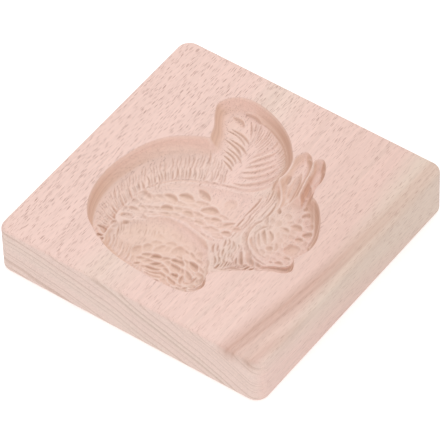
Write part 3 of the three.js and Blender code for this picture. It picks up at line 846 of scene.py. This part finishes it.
def carving_tree(hollows, ground, cuts, material):
    """Cuts the hollows, worn ridges and gouge cuts out of the board."""
    tree, add, given = new_tree("Squirrel carved into the board", {
        "Spacing": 0.21 * MM, "Width": 76 * MM, "Height": 84 * MM, "Ridge rounding": 0.9 * MM,
        "Ridge depth": 5 * MM, "Ridge run-out": 3 * MM, "Lid": 1.5 * MM, "Rim": 0.25 * MM, "Smoothing": 2,
        "Crest reach": 12,
    })
    grid = {"Size X": given["Width"], "Size Y": given["Height"]}
    for side, letter in (("Width", "X"), ("Height", "Y")):
        steps = add("ShaderNodeMath", {0: given[side], 1: given["Spacing"]}, operation="DIVIDE")
        grid[f"Vertices {letter}"] = add("ShaderNodeMath", {0: steps, 1: 1.0}, operation="ADD")
    shape = add("GeometryNodeMeshGrid", grid)
    x, y, z = add("ShaderNodeSeparateXYZ", {0: add("GeometryNodeInputPosition")}).outputs
    shape, floor = keep(add, shape, "floor", joined_hollows(add, given, hollows, ground, x, y))
    shape, carved = keep(add, shape, "carved", gouged_floor(add, given, floor, cuts, x, y))
    bottom = add("GeometryNodeSetPosition", {
        "Geometry": shape,
        "Position": add("ShaderNodeCombineXYZ", {0: x, 1: y, 2: carved}),
    })
    board = add("GeometryNodeMeshBoolean", {
        "Mesh 1": given["Geometry"], "Mesh 2": body_above(add, bottom, x, y),
    }, operation="DIFFERENCE", solver="MANIFOLD")

    # What the material reads, in millimetres and zero on the board's outer faces: how deep a place is
    # carved, and how far it stands above its surroundings, with the form of the hollows and without it
    capped = add("ShaderNodeMath", {0: carved, 1: TOP}, operation="MINIMUM")
    cuts_only = add("ShaderNodeMath", {0: carved, 1: floor}, operation="SUBTRACT")
    differences = {"carved_depth": (TOP, capped)}
    for name, height in (("crest", capped), ("relief", cuts_only)):
        around = add("GeometryNodeBlurAttribute", {"Value": height, "Iterations": given["Crest reach"]})
        differences[name] = (height, around)
    is_below_top = add("FunctionNodeCompare", {"A": z, "B": TOP - 0.02 * MM}, operation="LESS_THAN")
    for name, (height, less) in differences.items():
        metres = add("ShaderNodeMath", {0: height, 1: less}, operation="SUBTRACT")
        millimetres = add("ShaderNodeMath", {0: metres, 1: 1 / MM}, operation="MULTIPLY")
        shape, stored = keep(add, shape, name, millimetres)
        is_over, _, found = look_up(add, shape, x, y, stored)
        is_carved = add("FunctionNodeBooleanMath", {0: is_over, 1: is_below_top}, operation="AND")
        value = add("GeometryNodeSwitch", {0: is_carved, 2: found}, input_type="FLOAT")
        board = add("GeometryNodeStoreNamedAttribute", {"Geometry": board, "Name": name, "Value": value})
    whole = add("GeometryNodeRealizeInstances", {0: board})
    add("NodeGroupOutput", {0: add("GeometryNodeSetMaterial", {"Geometry": whole, "Material": material})})
    return tree


def linear(hex_colour):
    """The linear colour of an sRGB hex value such as "E8CABF"."""
    channels = [int(hex_colour[i:i + 2], 16) / 255 for i in (0, 2, 4)]
    return tuple(c / 12.92 if c <= 0.04045 else ((c + 0.055) / 1.055) ** 2.4 for c in channels)


def coats(add, colour, colours, layers):
    """Lays named colours over a colour one after the other, each as strongly as its mask says."""
    for name, mask in layers:
        mix = add("ShaderNodeMix", {"Factor": mask, 6: colour, 7: colours[name]}, data_type="RGBA")
        colour = mix.outputs[2]
    return colour


def growth_rings(add, place, wander):
    """The layers of the growth rings, and how dense the wood is. The rings are shells around the heart of
    the trunk, which ran far below the board's left end and a little askew. They stand 2 to 3 mm apart, and
    no two are alike."""
    split = add("ShaderNodeSeparateXYZ", {0: place}).outputs
    askew = add("ShaderNodeVectorMath", {0: place, 1: (1, -0.05, 0)}, operation="DOT_PRODUCT")
    askew = askew.outputs["Value"]
    across = add("ShaderNodeCombineXYZ", {0: askew, 2: split[2]})
    from_heart = add("ShaderNodeVectorMath", {0: across, 1: (60, 0, 230)}, operation="ADD")
    round_ring = add("ShaderNodeVectorMath", {0: from_heart}, operation="LENGTH").outputs["Value"]
    ring_place = add("ShaderNodeMath", {0: wander, 1: 6.0, 2: round_ring}, operation="MULTIPLY_ADD")
    uneven = add("ShaderNodeTexNoise", {"W": ring_place, "Scale": 0.3, "Detail": 1.0}, noise_dimensions="1D")
    growth = add("ShaderNodeMath", {0: uneven, 1: 4.0, 2: ring_place}, operation="MULTIPLY_ADD")
    years = add("ShaderNodeMath", {0: growth, 1: 2.6}, operation="DIVIDE")
    season = add("ShaderNodeMath", {0: years}, operation="FRACT")
    late_wood = add("ShaderNodeMapRange", {"Value": season, "From Min": 0.6, "From Max": 0.98},
                    interpolation_type="SMOOTHSTEP")

    # Their colour drifts between pink and a greener beige, which is strongest in the outermost ones. It
    # deepens towards the right, but not at the front.
    drift = add("ShaderNodeTexNoise", {"W": ring_place, "Scale": 0.12, "Detail": 2.0}, noise_dimensions="1D")
    beige = add("ShaderNodeMapRange", {"Value": drift, "From Min": 0.5, "From Max": 0.66, "To Max": 0.35})
    outwards = add("ShaderNodeVectorMath", {0: place, 1: (1, 0.12, 0.5)}, operation="DOT_PRODUCT")
    outermost = add("ShaderNodeMapRange", {
        "Value": outwards.outputs["Value"], "From Min": 50.0, "From Max": 57.0, "To Max": 0.8,
    })
    beige = add("ShaderNodeMath", {0: beige, 1: outermost}, operation="MAXIMUM")
    rightwards = add("ShaderNodeMapRange", {
        "Value": askew, "From Min": -5.0, "From Max": 42.0, "To Max": 0.2,
    })
    backwards = add("ShaderNodeMapRange", {"Value": split[1], "From Min": -46.0, "From Max": 0.0})
    deeper = add("ShaderNodeMath", {0: rightwards, 1: backwards}, operation="MULTIPLY")
    return [("beige", beige), ("streak", deeper)], late_wood


def end_grain(add, normal, depth, late_wood):
    """The layers of the sawn faces. Cut across, the rings show as lines on a greyer ground. Cut along, they
    hardly show."""
    sideways = add("ShaderNodeMath", {0: normal[1]}, operation="ABSOLUTE")
    across = add("ShaderNodeMapRange", {"Value": sideways, "From Min": 0.5, "From Max": 0.9})
    not_carved = add("ShaderNodeMath", {0: depth, 1: 0.01}, operation="LESS_THAN")
    sawn = add("ShaderNodeMath", {0: across, 1: not_carved}, operation="MULTIPLY")
    grey = add("ShaderNodeMath", {0: sawn, 1: 0.45}, operation="MULTIPLY")
    strength = add("ShaderNodeMapRange", {"Value": sawn, "To Min": 0.12, "To Max": 0.5})
    line = add("ShaderNodeMath", {0: late_wood, 1: strength}, operation="MULTIPLY")
    return [("end_grain", grey), ("ring", line)]


def brown_streak(add, place, wander):
    """The layer of the brown streak of fine lines that curves along the right edge. It widens towards the
    front, where a fainter one lies beside it, and dies out a few millimetres down."""
    split = add("ShaderNodeSeparateXYZ", {0: place}).outputs
    from_front = add("ShaderNodeMath", {0: split[1], 1: 45.0}, operation="ADD")
    curved = add("ShaderNodeMath", {0: from_front, 1: from_front}, operation="MULTIPLY")
    sloped = add("ShaderNodeVectorMath", {0: place, 1: (1, -0.185, 0)}, operation="DOT_PRODUCT")
    sloped = sloped.outputs["Value"]
    bent = add("ShaderNodeMath", {0: curved, 1: 0.00121, 2: sloped}, operation="MULTIPLY_ADD")
    streak_place = add("ShaderNodeMath", {0: wander, 1: 4.0, 2: bent}, operation="MULTIPLY_ADD")
    half_width = add("ShaderNodeMapRange", {
        "Value": from_front, "From Max": 85.0, "To Min": 7.0, "To Max": 4.2,
    })
    bands = []
    for middle, reach, strength in ((50.3, half_width, 1.0), (57.3, 4.0, 0.8)):
        aside = add("ShaderNodeMath", {0: streak_place, 1: middle}, operation="SUBTRACT")
        aside = add("ShaderNodeMath", {0: aside}, operation="ABSOLUTE")
        bands.append(add("ShaderNodeMapRange", {
            "Value": aside, "From Max": reach, "To Min": strength, "To Max": 0.0,
        }, interpolation_type="SMOOTHSTEP"))
    near_front = add("ShaderNodeMapRange", {
        "Value": from_front, "From Min": 4.0, "From Max": 26.0, "To Min": 1.0, "To Max": 0.0,
    })
    beside = add("ShaderNodeMath", {0: bands[1], 1: near_front}, operation="MULTIPLY")
    streak = add("ShaderNodeMath", {0: bands[0], 1: beside}, operation="MAXIMUM")
    near_top = add("ShaderNodeMapRange", {"Value": split[2], "From Min": 13.0, "From Max": 17.5})
    lines = {"W": streak_place, "Scale": 0.5, "Detail": 3.0}
    fine_lines = add("ShaderNodeMapRange", {
        "Value": add("ShaderNodeTexNoise", lines, noise_dimensions="1D"),
        "From Min": 0.3, "From Max": 0.7, "To Min": 0.37, "To Max": 0.67,
    })
    fading = add("ShaderNodeMapRange", {
        "Value": from_front, "From Min": 30.0, "From Max": 80.0, "To Min": 1.0, "To Max": 0.5,
    })
    for share in (near_top, fine_lines, fading):
        streak = add("ShaderNodeMath", {0: streak, 1: share}, operation="MULTIPLY")
    return [("streak", streak)]


def open_pores(add, place, slow):
    """How strongly the open pores and small rays show. Planing leaves them as dark dashes along the grain,
    and on the end grain they are dots."""

    # They are drawn up to 0.15 mm wide and 2.5 mm long, a little coarser than real ones, so that they show
    stretched = add("ShaderNodeVectorMath", {0: place, 1: (4.6, 0.29, 4.6)}, operation="MULTIPLY")
    cells = add("ShaderNodeTexVoronoi", {"Vector": stretched, "Scale": 1.0}).outputs
    dashes = add("ShaderNodeMapRange", {"Value": cells["Distance"], "From Min": 0.36, "From Max": 0.22})
    own_depth = add("ShaderNodeSeparateColor", {0: cells["Color"]})
    pores = add("ShaderNodeMath", {0: dashes, 1: own_depth}, operation="MULTIPLY")

    # They stand closer in some patches than in others, and closest at the left
    patches = add("ShaderNodeTexNoise", {"Vector": slow, "Scale": 2.0, "Detail": 1.0})
    leftwards = add("ShaderNodeVectorMath", {0: place, 1: (-0.006, 0.003, 0)}, operation="DOT_PRODUCT")
    density = add("ShaderNodeMath", {0: patches, 1: leftwards.outputs["Value"]}, operation="ADD")
    density = add("ShaderNodeMapRange", {
        "Value": density, "From Min": 0.2, "From Max": 0.8, "To Min": 0.4, "To Max": 1.0,
    })
    return add("ShaderNodeMath", {0: pores, 1: density}, operation="MULTIPLY")


def facing(add, normal, direction, start, end, low, high):
    """A share that runs from low to high as a surface turns towards a direction, from start to end."""
    turned = add("ShaderNodeVectorMath", {0: normal, 1: direction}, operation="DOT_PRODUCT").outputs["Value"]
    return add("ShaderNodeMapRange", {
        "Value": turned, "From Min": start, "From Max": end, "To Min": low, "To Max": high,
    })


def gouged_wood(add, normal, depth, wander):
    """The layers of the carving. Steep walls are darker and browner, partly from their open grain and partly
    as painted shade, the bottoms of the cuts get painted shade, and the crests a painted highlight."""
    upwards = add("ShaderNodeSeparateXYZ", {0: normal}).outputs[2]
    carved = add("ShaderNodeMapRange", {"Value": depth, "From Max": 0.3})
    steep = add("ShaderNodeMapRange", {"Value": upwards, "From Min": 0.9, "From Max": 0.62})

    # Painted shade darkens the walls beyond their open grain, but little on those that fall towards the
    # front right
    facing_shade = facing(add, normal, (0.55, -0.83, 0), 0.35, 0.75, 1.0, 0.2)
    wall = add("ShaderNodeMath", {0: carved, 1: steep}, operation="MULTIPLY")
    wall = add("ShaderNodeMath", {0: wall, 1: facing_shade}, operation="MULTIPLY")
    # Painted shade: the deepest floors take on the wall colour too
    deep_floor_shade = add("ShaderNodeMapRange", {"Value": depth, "From Min": 6.3, "From Max": 7.6, "To Max": 0.6})
    wall_tone_and_shade = add("ShaderNodeMath", {0: wall, 1: deep_floor_shade}, operation="MAXIMUM")

    # Painted shade: the walls that face left are made the brownest
    faces_left_shade = facing(add, normal, (-0.98, -0.2, 0), 0.1, 0.6, 0.0, 0.45)
    left_wall_shade = add("ShaderNodeMath", {0: faces_left_shade, 1: wall}, operation="MULTIPLY")

    # Each pass of the gouge around the rim leaves a line on the walls, 0.3 to 1 mm below the last one
    lower = add("ShaderNodeMath", {0: wander, 1: 3.0, 2: depth}, operation="MULTIPLY_ADD")
    passes = add("ShaderNodeTexNoise", {"W": lower, "Scale": 1.4, "Detail": 2.0}, noise_dimensions="1D")
    passes = add("ShaderNodeMapRange", {
        "Value": passes, "From Min": 0.35, "From Max": 0.65, "To Min": 0.3, "To Max": 0.0,
    })
    passes = add("ShaderNodeMath", {0: passes, 1: wall}, operation="MULTIPLY")

    # Painted shade darkens the bottoms of the gouge cuts, most on their sides that face the front right
    crest, relief = (add("ShaderNodeAttribute", attribute_name=name).outputs["Fac"]
                     for name in ("crest", "relief"))
    cut = add("ShaderNodeMapRange", {"Value": relief, "From Min": -0.01, "From Max": -0.22, "To Max": 0.95})
    not_wall = add("ShaderNodeMapRange", {"Value": wall, "To Min": 1.0, "To Max": 0.15})
    cut_shade_facing = facing(add, normal, (0.6, -0.8, 0), -0.2, 0.25, 0.45, 1.0)
    for share in (not_wall, cut_shade_facing):
        cut = add("ShaderNodeMath", {0: cut, 1: share}, operation="MULTIPLY")
    # Painted highlight: the crests between the cuts and along the ridges are made paler
    rubbed = add("ShaderNodeMapRange", {"Value": relief, "From Min": 0.01, "From Max": 0.12, "To Max": 0.6})
    ridge_highlight = add("ShaderNodeMapRange", {"Value": crest, "From Min": 0.02, "From Max": 0.2, "To Max": 0.4})
    rubbed = add("ShaderNodeMath", {0: rubbed, 1: ridge_highlight}, operation="MAXIMUM")
    return [("wall", wall_tone_and_shade), ("brown_wall", left_wall_shade), ("brown_wall", passes), ("cut", cut),
            ("rubbed", rubbed)]


def beech_wood(colours):
    """Beech, planed outside, gouged inside and left bare, with painted shade and a painted highlight in the
    carving.
    """
    material = bpy.data.materials.new("bare beech, planed and gouged")
    material.use_nodes = True
    tree = material.node_tree
    add = partial(add_node, tree)
    coordinates = add("ShaderNodeTexCoord").outputs
    normal = coordinates["Normal"]
    place = add("ShaderNodeVectorMath", {0: coordinates["Object"], "Scale": 1 / MM}, operation="SCALE")
    depth = add("ShaderNodeAttribute", attribute_name="carved_depth").outputs["Fac"]

    # The grain wanders a few millimetres over the length of the board
    slow = add("ShaderNodeVectorMath", {0: place, 1: (0.03, 0.012, 0.03)}, operation="MULTIPLY")
    wander = add("ShaderNodeTexNoise", {"Vector": slow, "Scale": 1.0, "Detail": 2.0})
    rings, late_wood = growth_rings(add, place, wander)
    pores = open_pores(add, place, slow)
    colour = coats(add, colours["pink"], colours, [
        *rings,
        *end_grain(add, add("ShaderNodeSeparateXYZ", {0: normal}).outputs, depth, late_wood),
        *brown_streak(add, place, wander),
        ("pore", pores),
    ])

    # Fibres give a faint silk along the grain
    silk_place = add("ShaderNodeVectorMath", {0: place, 1: (1.3, 0.05, 1.3)}, operation="MULTIPLY")
    silk = add("ShaderNodeTexNoise", {"Vector": silk_place, "Scale": 1.0, "Detail": 3.0})
    silk = add("ShaderNodeMapRange", {
        "Value": silk, "From Min": 0.3, "From Max": 0.7, "To Min": 0.95, "To Max": 1.04,
    })
    colour = add("ShaderNodeVectorMath", {0: colour, "Scale": silk}, operation="SCALE").outputs[0]
    colour = coats(add, colour, colours, gouged_wood(add, normal, depth, wander))

    # Bare wood has no coat to shine, so its sheen is faint and broad, and open pores break it
    shader = tree.nodes["Principled BSDF"]
    tree.links.new(colour, shader.inputs["Base Color"])
    shader.inputs["Roughness"].default_value = 0.6
    bump = add("ShaderNodeBump", {"Height": pores, "Distance": 0.04 * MM}, invert=True)
    tree.links.new(bump.outputs[0], shader.inputs["Normal"])
    return material


def seen_by_camera(add):
    """One for what the camera sees, straight, in a mirror or through glass, and nothing for other light."""
    ray = add("ShaderNodeLightPath").outputs
    seen = ray["Is Camera Ray"]
    for kind in ("Is Glossy Ray", "Is Transmission Ray"):
        seen = add("ShaderNodeMath", {0: seen, 1: ray[kind]}, operation="MAXIMUM")
    return seen


def floor_paper(colour, glow):
    """Matt white paper. What the camera sees of it is lifted to white, and it keeps the board's shadow. From
    below it can be seen through, so that the underside of the board shows."""
    material = bpy.data.materials.new("white paper, matt")
    material.use_nodes = True
    tree = material.node_tree
    tree.nodes.remove(tree.nodes["Principled BSDF"])
    add = partial(add_node, tree)
    paper = add("ShaderNodeBsdfDiffuse", {"Color": (*colour, 1)})
    lift = add("ShaderNodeMath", {0: seen_by_camera(add), 1: glow}, operation="MULTIPLY")
    light = add("ShaderNodeEmission", {"Color": (1, 1, 1, 1), "Strength": lift})
    both = add("ShaderNodeAddShader", {0: paper, 1: light})
    clear = add("ShaderNodeBsdfTransparent")
    from_below = add("ShaderNodeNewGeometry").outputs["Backfacing"]
    sheet = add("ShaderNodeMixShader", {0: from_below, 1: both, 2: clear})
    tree.links.new(sheet.outputs[0], tree.nodes["Material Output"].inputs["Surface"])
    return material


def studio_world(strength):
    """Even light from all around. What the camera sees of it is white."""
    world = bpy.data.worlds.new("studio")
    world.use_nodes = True
    tree = world.node_tree
    add = partial(add_node, tree)
    level = add("ShaderNodeMapRange", {"Value": seen_by_camera(add), "To Min": strength, "To Max": 1.0})
    background = tree.nodes["Background"]
    background.inputs["Color"].default_value = (1, 1, 1, 1)
    tree.links.new(level.outputs[0], background.inputs["Strength"])
    return world


def camera_at(azimuth, elevation, roll, distance):
    """The matrix of a camera that looks at the board's middle from so far around, up and away."""
    back = Vector((math.sin(azimuth) * math.cos(elevation), -math.cos(azimuth) * math.cos(elevation),
                   math.sin(elevation)))
    right = Vector((math.cos(azimuth), math.sin(azimuth), 0))
    up = back.cross(right)
    right_turned = right * math.cos(roll) + up * math.sin(roll)
    up_turned = up * math.cos(roll) - right * math.sin(roll)
    place = back * distance + Vector((0, 0, TOP / 2))
    columns = Matrix((right_turned, up_turned, back)).transposed().to_4x4()
    return Matrix.Translation(place) @ columns


# How a length and an angle are shown in the sidebar
LENGTH = {"unit": "LENGTH", "subtype": "DISTANCE", "precision": 5}
ANGLE = {"unit": "ROTATION", "subtype": "ANGLE"}

# The wood's colours, painted shade and highlight: what each is called, where it shows, and its sRGB hex
# value
WOOD_COLOURS = {
    "pink": ("Pink", "Most of the wood", "EFCEC3"),
    "beige": ("Beige", "The greener rings", "E8D8C8"),
    "end_grain": ("End grain", "The wood where it is sawn across", "ECD8CD"),
    "ring": ("Ring line", "The dense end of each ring", "C4A595"),
    "streak": ("Streak", "The brown streak near the right edge", "BE907C"),
    "pore": ("Pore", "Open pores and small rays", "925F4E"),
    "wall": ("Wall", "Steep walls and the deepest floors", "EAC7B3"),
    "brown_wall": ("Brown wall", "Walls that face left, and the lines of the gouge on walls", "B98D79"),
    "cut": ("Cut", "Bottoms of the gouge cuts", "B0846A"),
    "rubbed": ("Highlight", "Crests between the cuts", "F4DACE"),
}


class BoardSizes(bpy.types.PropertyGroup):
    """Sizes of the plain board. Its length, width and thickness come from the frame."""
    corner_radius: bpy.props.FloatProperty(
        name="Corner radius", description="Radius of the four corners, seen from above",
        default=4.5 * MM, min=2 * MM, max=20 * MM, **LENGTH)
    edge_rounding: bpy.props.FloatProperty(
        name="Edge rounding", description="Radius of the eased edges around the top and the underside",
        default=1.5 * MM, min=0.1 * MM, max=1.9 * MM, **LENGTH)


class CarvingSizes(bpy.types.PropertyGroup):
    """Sizes of the carving."""
    spacing: bpy.props.FloatProperty(
        name="Spacing", description="How far apart the points of the carved surface lie",
        default=0.21 * MM, min=0.18 * MM, max=1 * MM, **LENGTH)
    ridge_rounding: bpy.props.FloatProperty(
        name="Ridge rounding", description="How softly two hollows run into each other",
        default=0.9 * MM, min=0.1 * MM, max=3 * MM, **LENGTH)
    ridge_depth: bpy.props.FloatProperty(
        name="Ridge depth", description="How far the ridges inside the figure are worn down below the top",
        default=5 * MM, min=1 * MM, max=8 * MM, **LENGTH)
    gouging: bpy.props.FloatProperty(
        name="Gouging", description="Depth of the gouge cuts, as a share of their drawn depth",
        default=1, min=0, max=2, subtype="FACTOR")
    seed: bpy.props.IntProperty(
        name="Seed", description="Changes how the scattered and jittered cuts fall", default=3, min=0)


class WoodColours(bpy.types.PropertyGroup):
    """Colours of the bare beech, and of the painted shade and highlight in its carving."""
    __annotations__ = {
        name: bpy.props.FloatVectorProperty(
            name=label, description=where, subtype="COLOR", default=linear(value), min=0, max=1)
        for name, (label, where, value) in WOOD_COLOURS.items()
    }


class StudioSettings(bpy.types.PropertyGroup):
    """The camera, the light and the floor."""
    azimuth: bpy.props.FloatProperty(
        name="Azimuth", description="How far the camera stands round to the right of the front",
        default=math.radians(37.215), **ANGLE)
    elevation: bpy.props.FloatProperty(
        name="Elevation", description="How far the camera looks down", default=math.radians(47.666), **ANGLE)
    roll: bpy.props.FloatProperty(
        name="Roll", description="How far the camera is tilted to one side",
        default=math.radians(-1.916), **ANGLE)
    distance: bpy.props.FloatProperty(
        name="Distance", description="From the camera to the middle of the board",
        default=1.415, min=0.2, **LENGTH)
    focal_length: bpy.props.FloatProperty(
        name="Focal length", description="Of the camera, in millimetres", default=372.13, min=10)
    surround: bpy.props.FloatProperty(
        name="Surround", description="Strength of the even light", default=0.8, min=0)
    window: bpy.props.FloatProperty(
        name="Window", description="Strength of the soft light from behind on the left", default=0.64, min=0)
    reflector: bpy.props.FloatProperty(
        name="Reflector", description="Strength of the low fill from the front", default=0.5, min=0)
    paper: bpy.props.FloatVectorProperty(
        name="Paper", description="Colour of the floor", subtype="COLOR", default=linear("F6F6F6"),
        min=0, max=1)
    glow: bpy.props.FloatProperty(
        name="Glow", description="How far the camera's view of the floor is lifted to white",
        default=0.36, min=0)


class COOKIE_MOULD_OT_board(bpy.types.Operator):
    """Makes the plain board with rounded corners and eased edges"""
    bl_idname = "cookie_mould.board"
    bl_label = "Plain board"

    def execute(self, context):
        sizes = context.scene.mould_board_sizes
        if BOARD_NAME in bpy.data.objects:
            raise RuntimeError("The board is already there")
        plain_board(sizes.corner_radius, sizes.edge_rounding)
        return {"FINISHED"}


class COOKIE_MOULD_OT_carving(bpy.types.Operator):
    """Carves the squirrel into the board"""
    bl_idname = "cookie_mould.carving"
    bl_label = "Carved squirrel"

    def execute(self, context):
        sizes = context.scene.mould_carving_sizes
        wood = context.scene.mould_wood_colours
        if BOARD_NAME not in bpy.data.objects:
            raise RuntimeError("There is no board to carve")
        hollows = [hollow_surface(name, hollow) for name, hollow in HOLLOWS.items()]
        ground = flat_outline("worn_ridges", GROUND)
        pieces = gouge_cuts(sizes.gouging, sizes.seed)
        cuts = bpy.data.collections.new("gouge_cuts")
        for piece in pieces:
            cuts.objects.link(piece)
        beech = beech_wood({name: (*getattr(wood, name), 1) for name in WOOD_COLOURS})
        board = plain_result(bpy.data.objects[BOARD_NAME], carving_tree(hollows, ground, cuts, beech), {
            "Spacing": sizes.spacing,
            "Ridge rounding": sizes.ridge_rounding,
            "Ridge depth": sizes.ridge_depth,
        })
        for helper in [*hollows, ground, *pieces]:
            bpy.data.objects.remove(helper)
        bpy.data.collections.remove(cuts)
        if len(board.data.polygons) < FEWEST_FACES:
            raise RuntimeError("The board came out uncarved")

        # The top and the underside are shaded flat, and the sides, the eased edges and the carving round
        for face in board.data.polygons:
            face.use_smooth = abs(face.normal.z) < LEVEL
        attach(board, "root")
        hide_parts("mould_board")
        return {"FINISHED"}


class COOKIE_MOULD_OT_studio(bpy.types.Operator):
    """Sets up the camera, the soft light and the white paper floor"""
    bl_idname = "cookie_mould.studio"
    bl_label = "Studio"

    def execute(self, context):
        settings = context.scene.mould_studio_settings
        lens = bpy.data.cameras.new("camera")
        lens.lens = settings.focal_length
        lens.shift_x, lens.shift_y = CAMERA_SHIFT
        lens.clip_end = 10
        camera = shown("camera", lens)
        camera.matrix_world = camera_at(
            settings.azimuth, settings.elevation, settings.roll, settings.distance)
        context.scene.camera = camera
        context.scene.world = studio_world(settings.surround)
        for name, strength, side in (("window", settings.window, WINDOW_SIDE),
                                     ("reflector", settings.reflector, REFLECTOR_SIDE)):
            sun = bpy.data.lights.new(name, "SUN")
            sun.energy = strength
            sun.angle = LIGHT_WIDTH
            shown(name, sun).rotation_euler = Vector(side).to_track_quat("Z", "Y").to_euler()

        # The even light comes through the paper, as if from all around, and lights the underside too
        corners = [(x * PAPER_REACH, y * PAPER_REACH, -PAPER_GAP)
                   for x, y in ((-1, -1), (1, -1), (1, 1), (-1, 1))]
        floor = mesh_object("paper", corners, [(0, 1, 2, 3)])
        floor.visible_diffuse = False
        floor.visible_shadow = False
        floor.data.materials.append(floor_paper(settings.paper, settings.glow))
        context.scene.view_settings.view_transform = "Standard"
        return {"FINISHED"}


class COOKIE_MOULD_PT_panel(bpy.types.Panel):
    """Lists what the cookie mould is made of"""
    bl_idname = "COOKIE_MOULD_PT_panel"
    bl_label = "Cookie mould"
    bl_space_type = "VIEW_3D"
    bl_region_type = "UI"
    bl_category = "Cookie mould"

    def draw(self, context):
        for operator, group in PANEL_ROWS:
            box = self.layout.box()
            for settings in group:
                for name in SETTINGS[settings].__annotations__:
                    box.prop(getattr(context.scene, settings), name)
            box.operator(operator.bl_idname)


SETTINGS = {
    "mould_board_sizes": BoardSizes,
    "mould_carving_sizes": CarvingSizes,
    "mould_wood_colours": WoodColours,
    "mould_studio_settings": StudioSettings,
}
PANEL_ROWS = [
    (COOKIE_MOULD_OT_board, ["mould_board_sizes"]),
    (COOKIE_MOULD_OT_carving, ["mould_carving_sizes", "mould_wood_colours"]),
    (COOKIE_MOULD_OT_studio, ["mould_studio_settings"]),
]
CLASSES = [*SETTINGS.values(), *[operator for operator, _ in PANEL_ROWS], COOKIE_MOULD_PT_panel]


def register():
    for cls in CLASSES:
        bpy.utils.register_class(cls)
    for name, group in SETTINGS.items():
        setattr(bpy.types.Scene, name, bpy.props.PointerProperty(type=group))


def unregister():
    for name in SETTINGS:
        delattr(bpy.types.Scene, name)
    for cls in reversed(CLASSES):
        bpy.utils.unregister_class(cls)


def main():
    register()
    bpy.ops.cookie_mould.board()
    bpy.ops.cookie_mould.carving()
    bpy.ops.cookie_mould.studio()


if __name__ == "__main__":
    main()
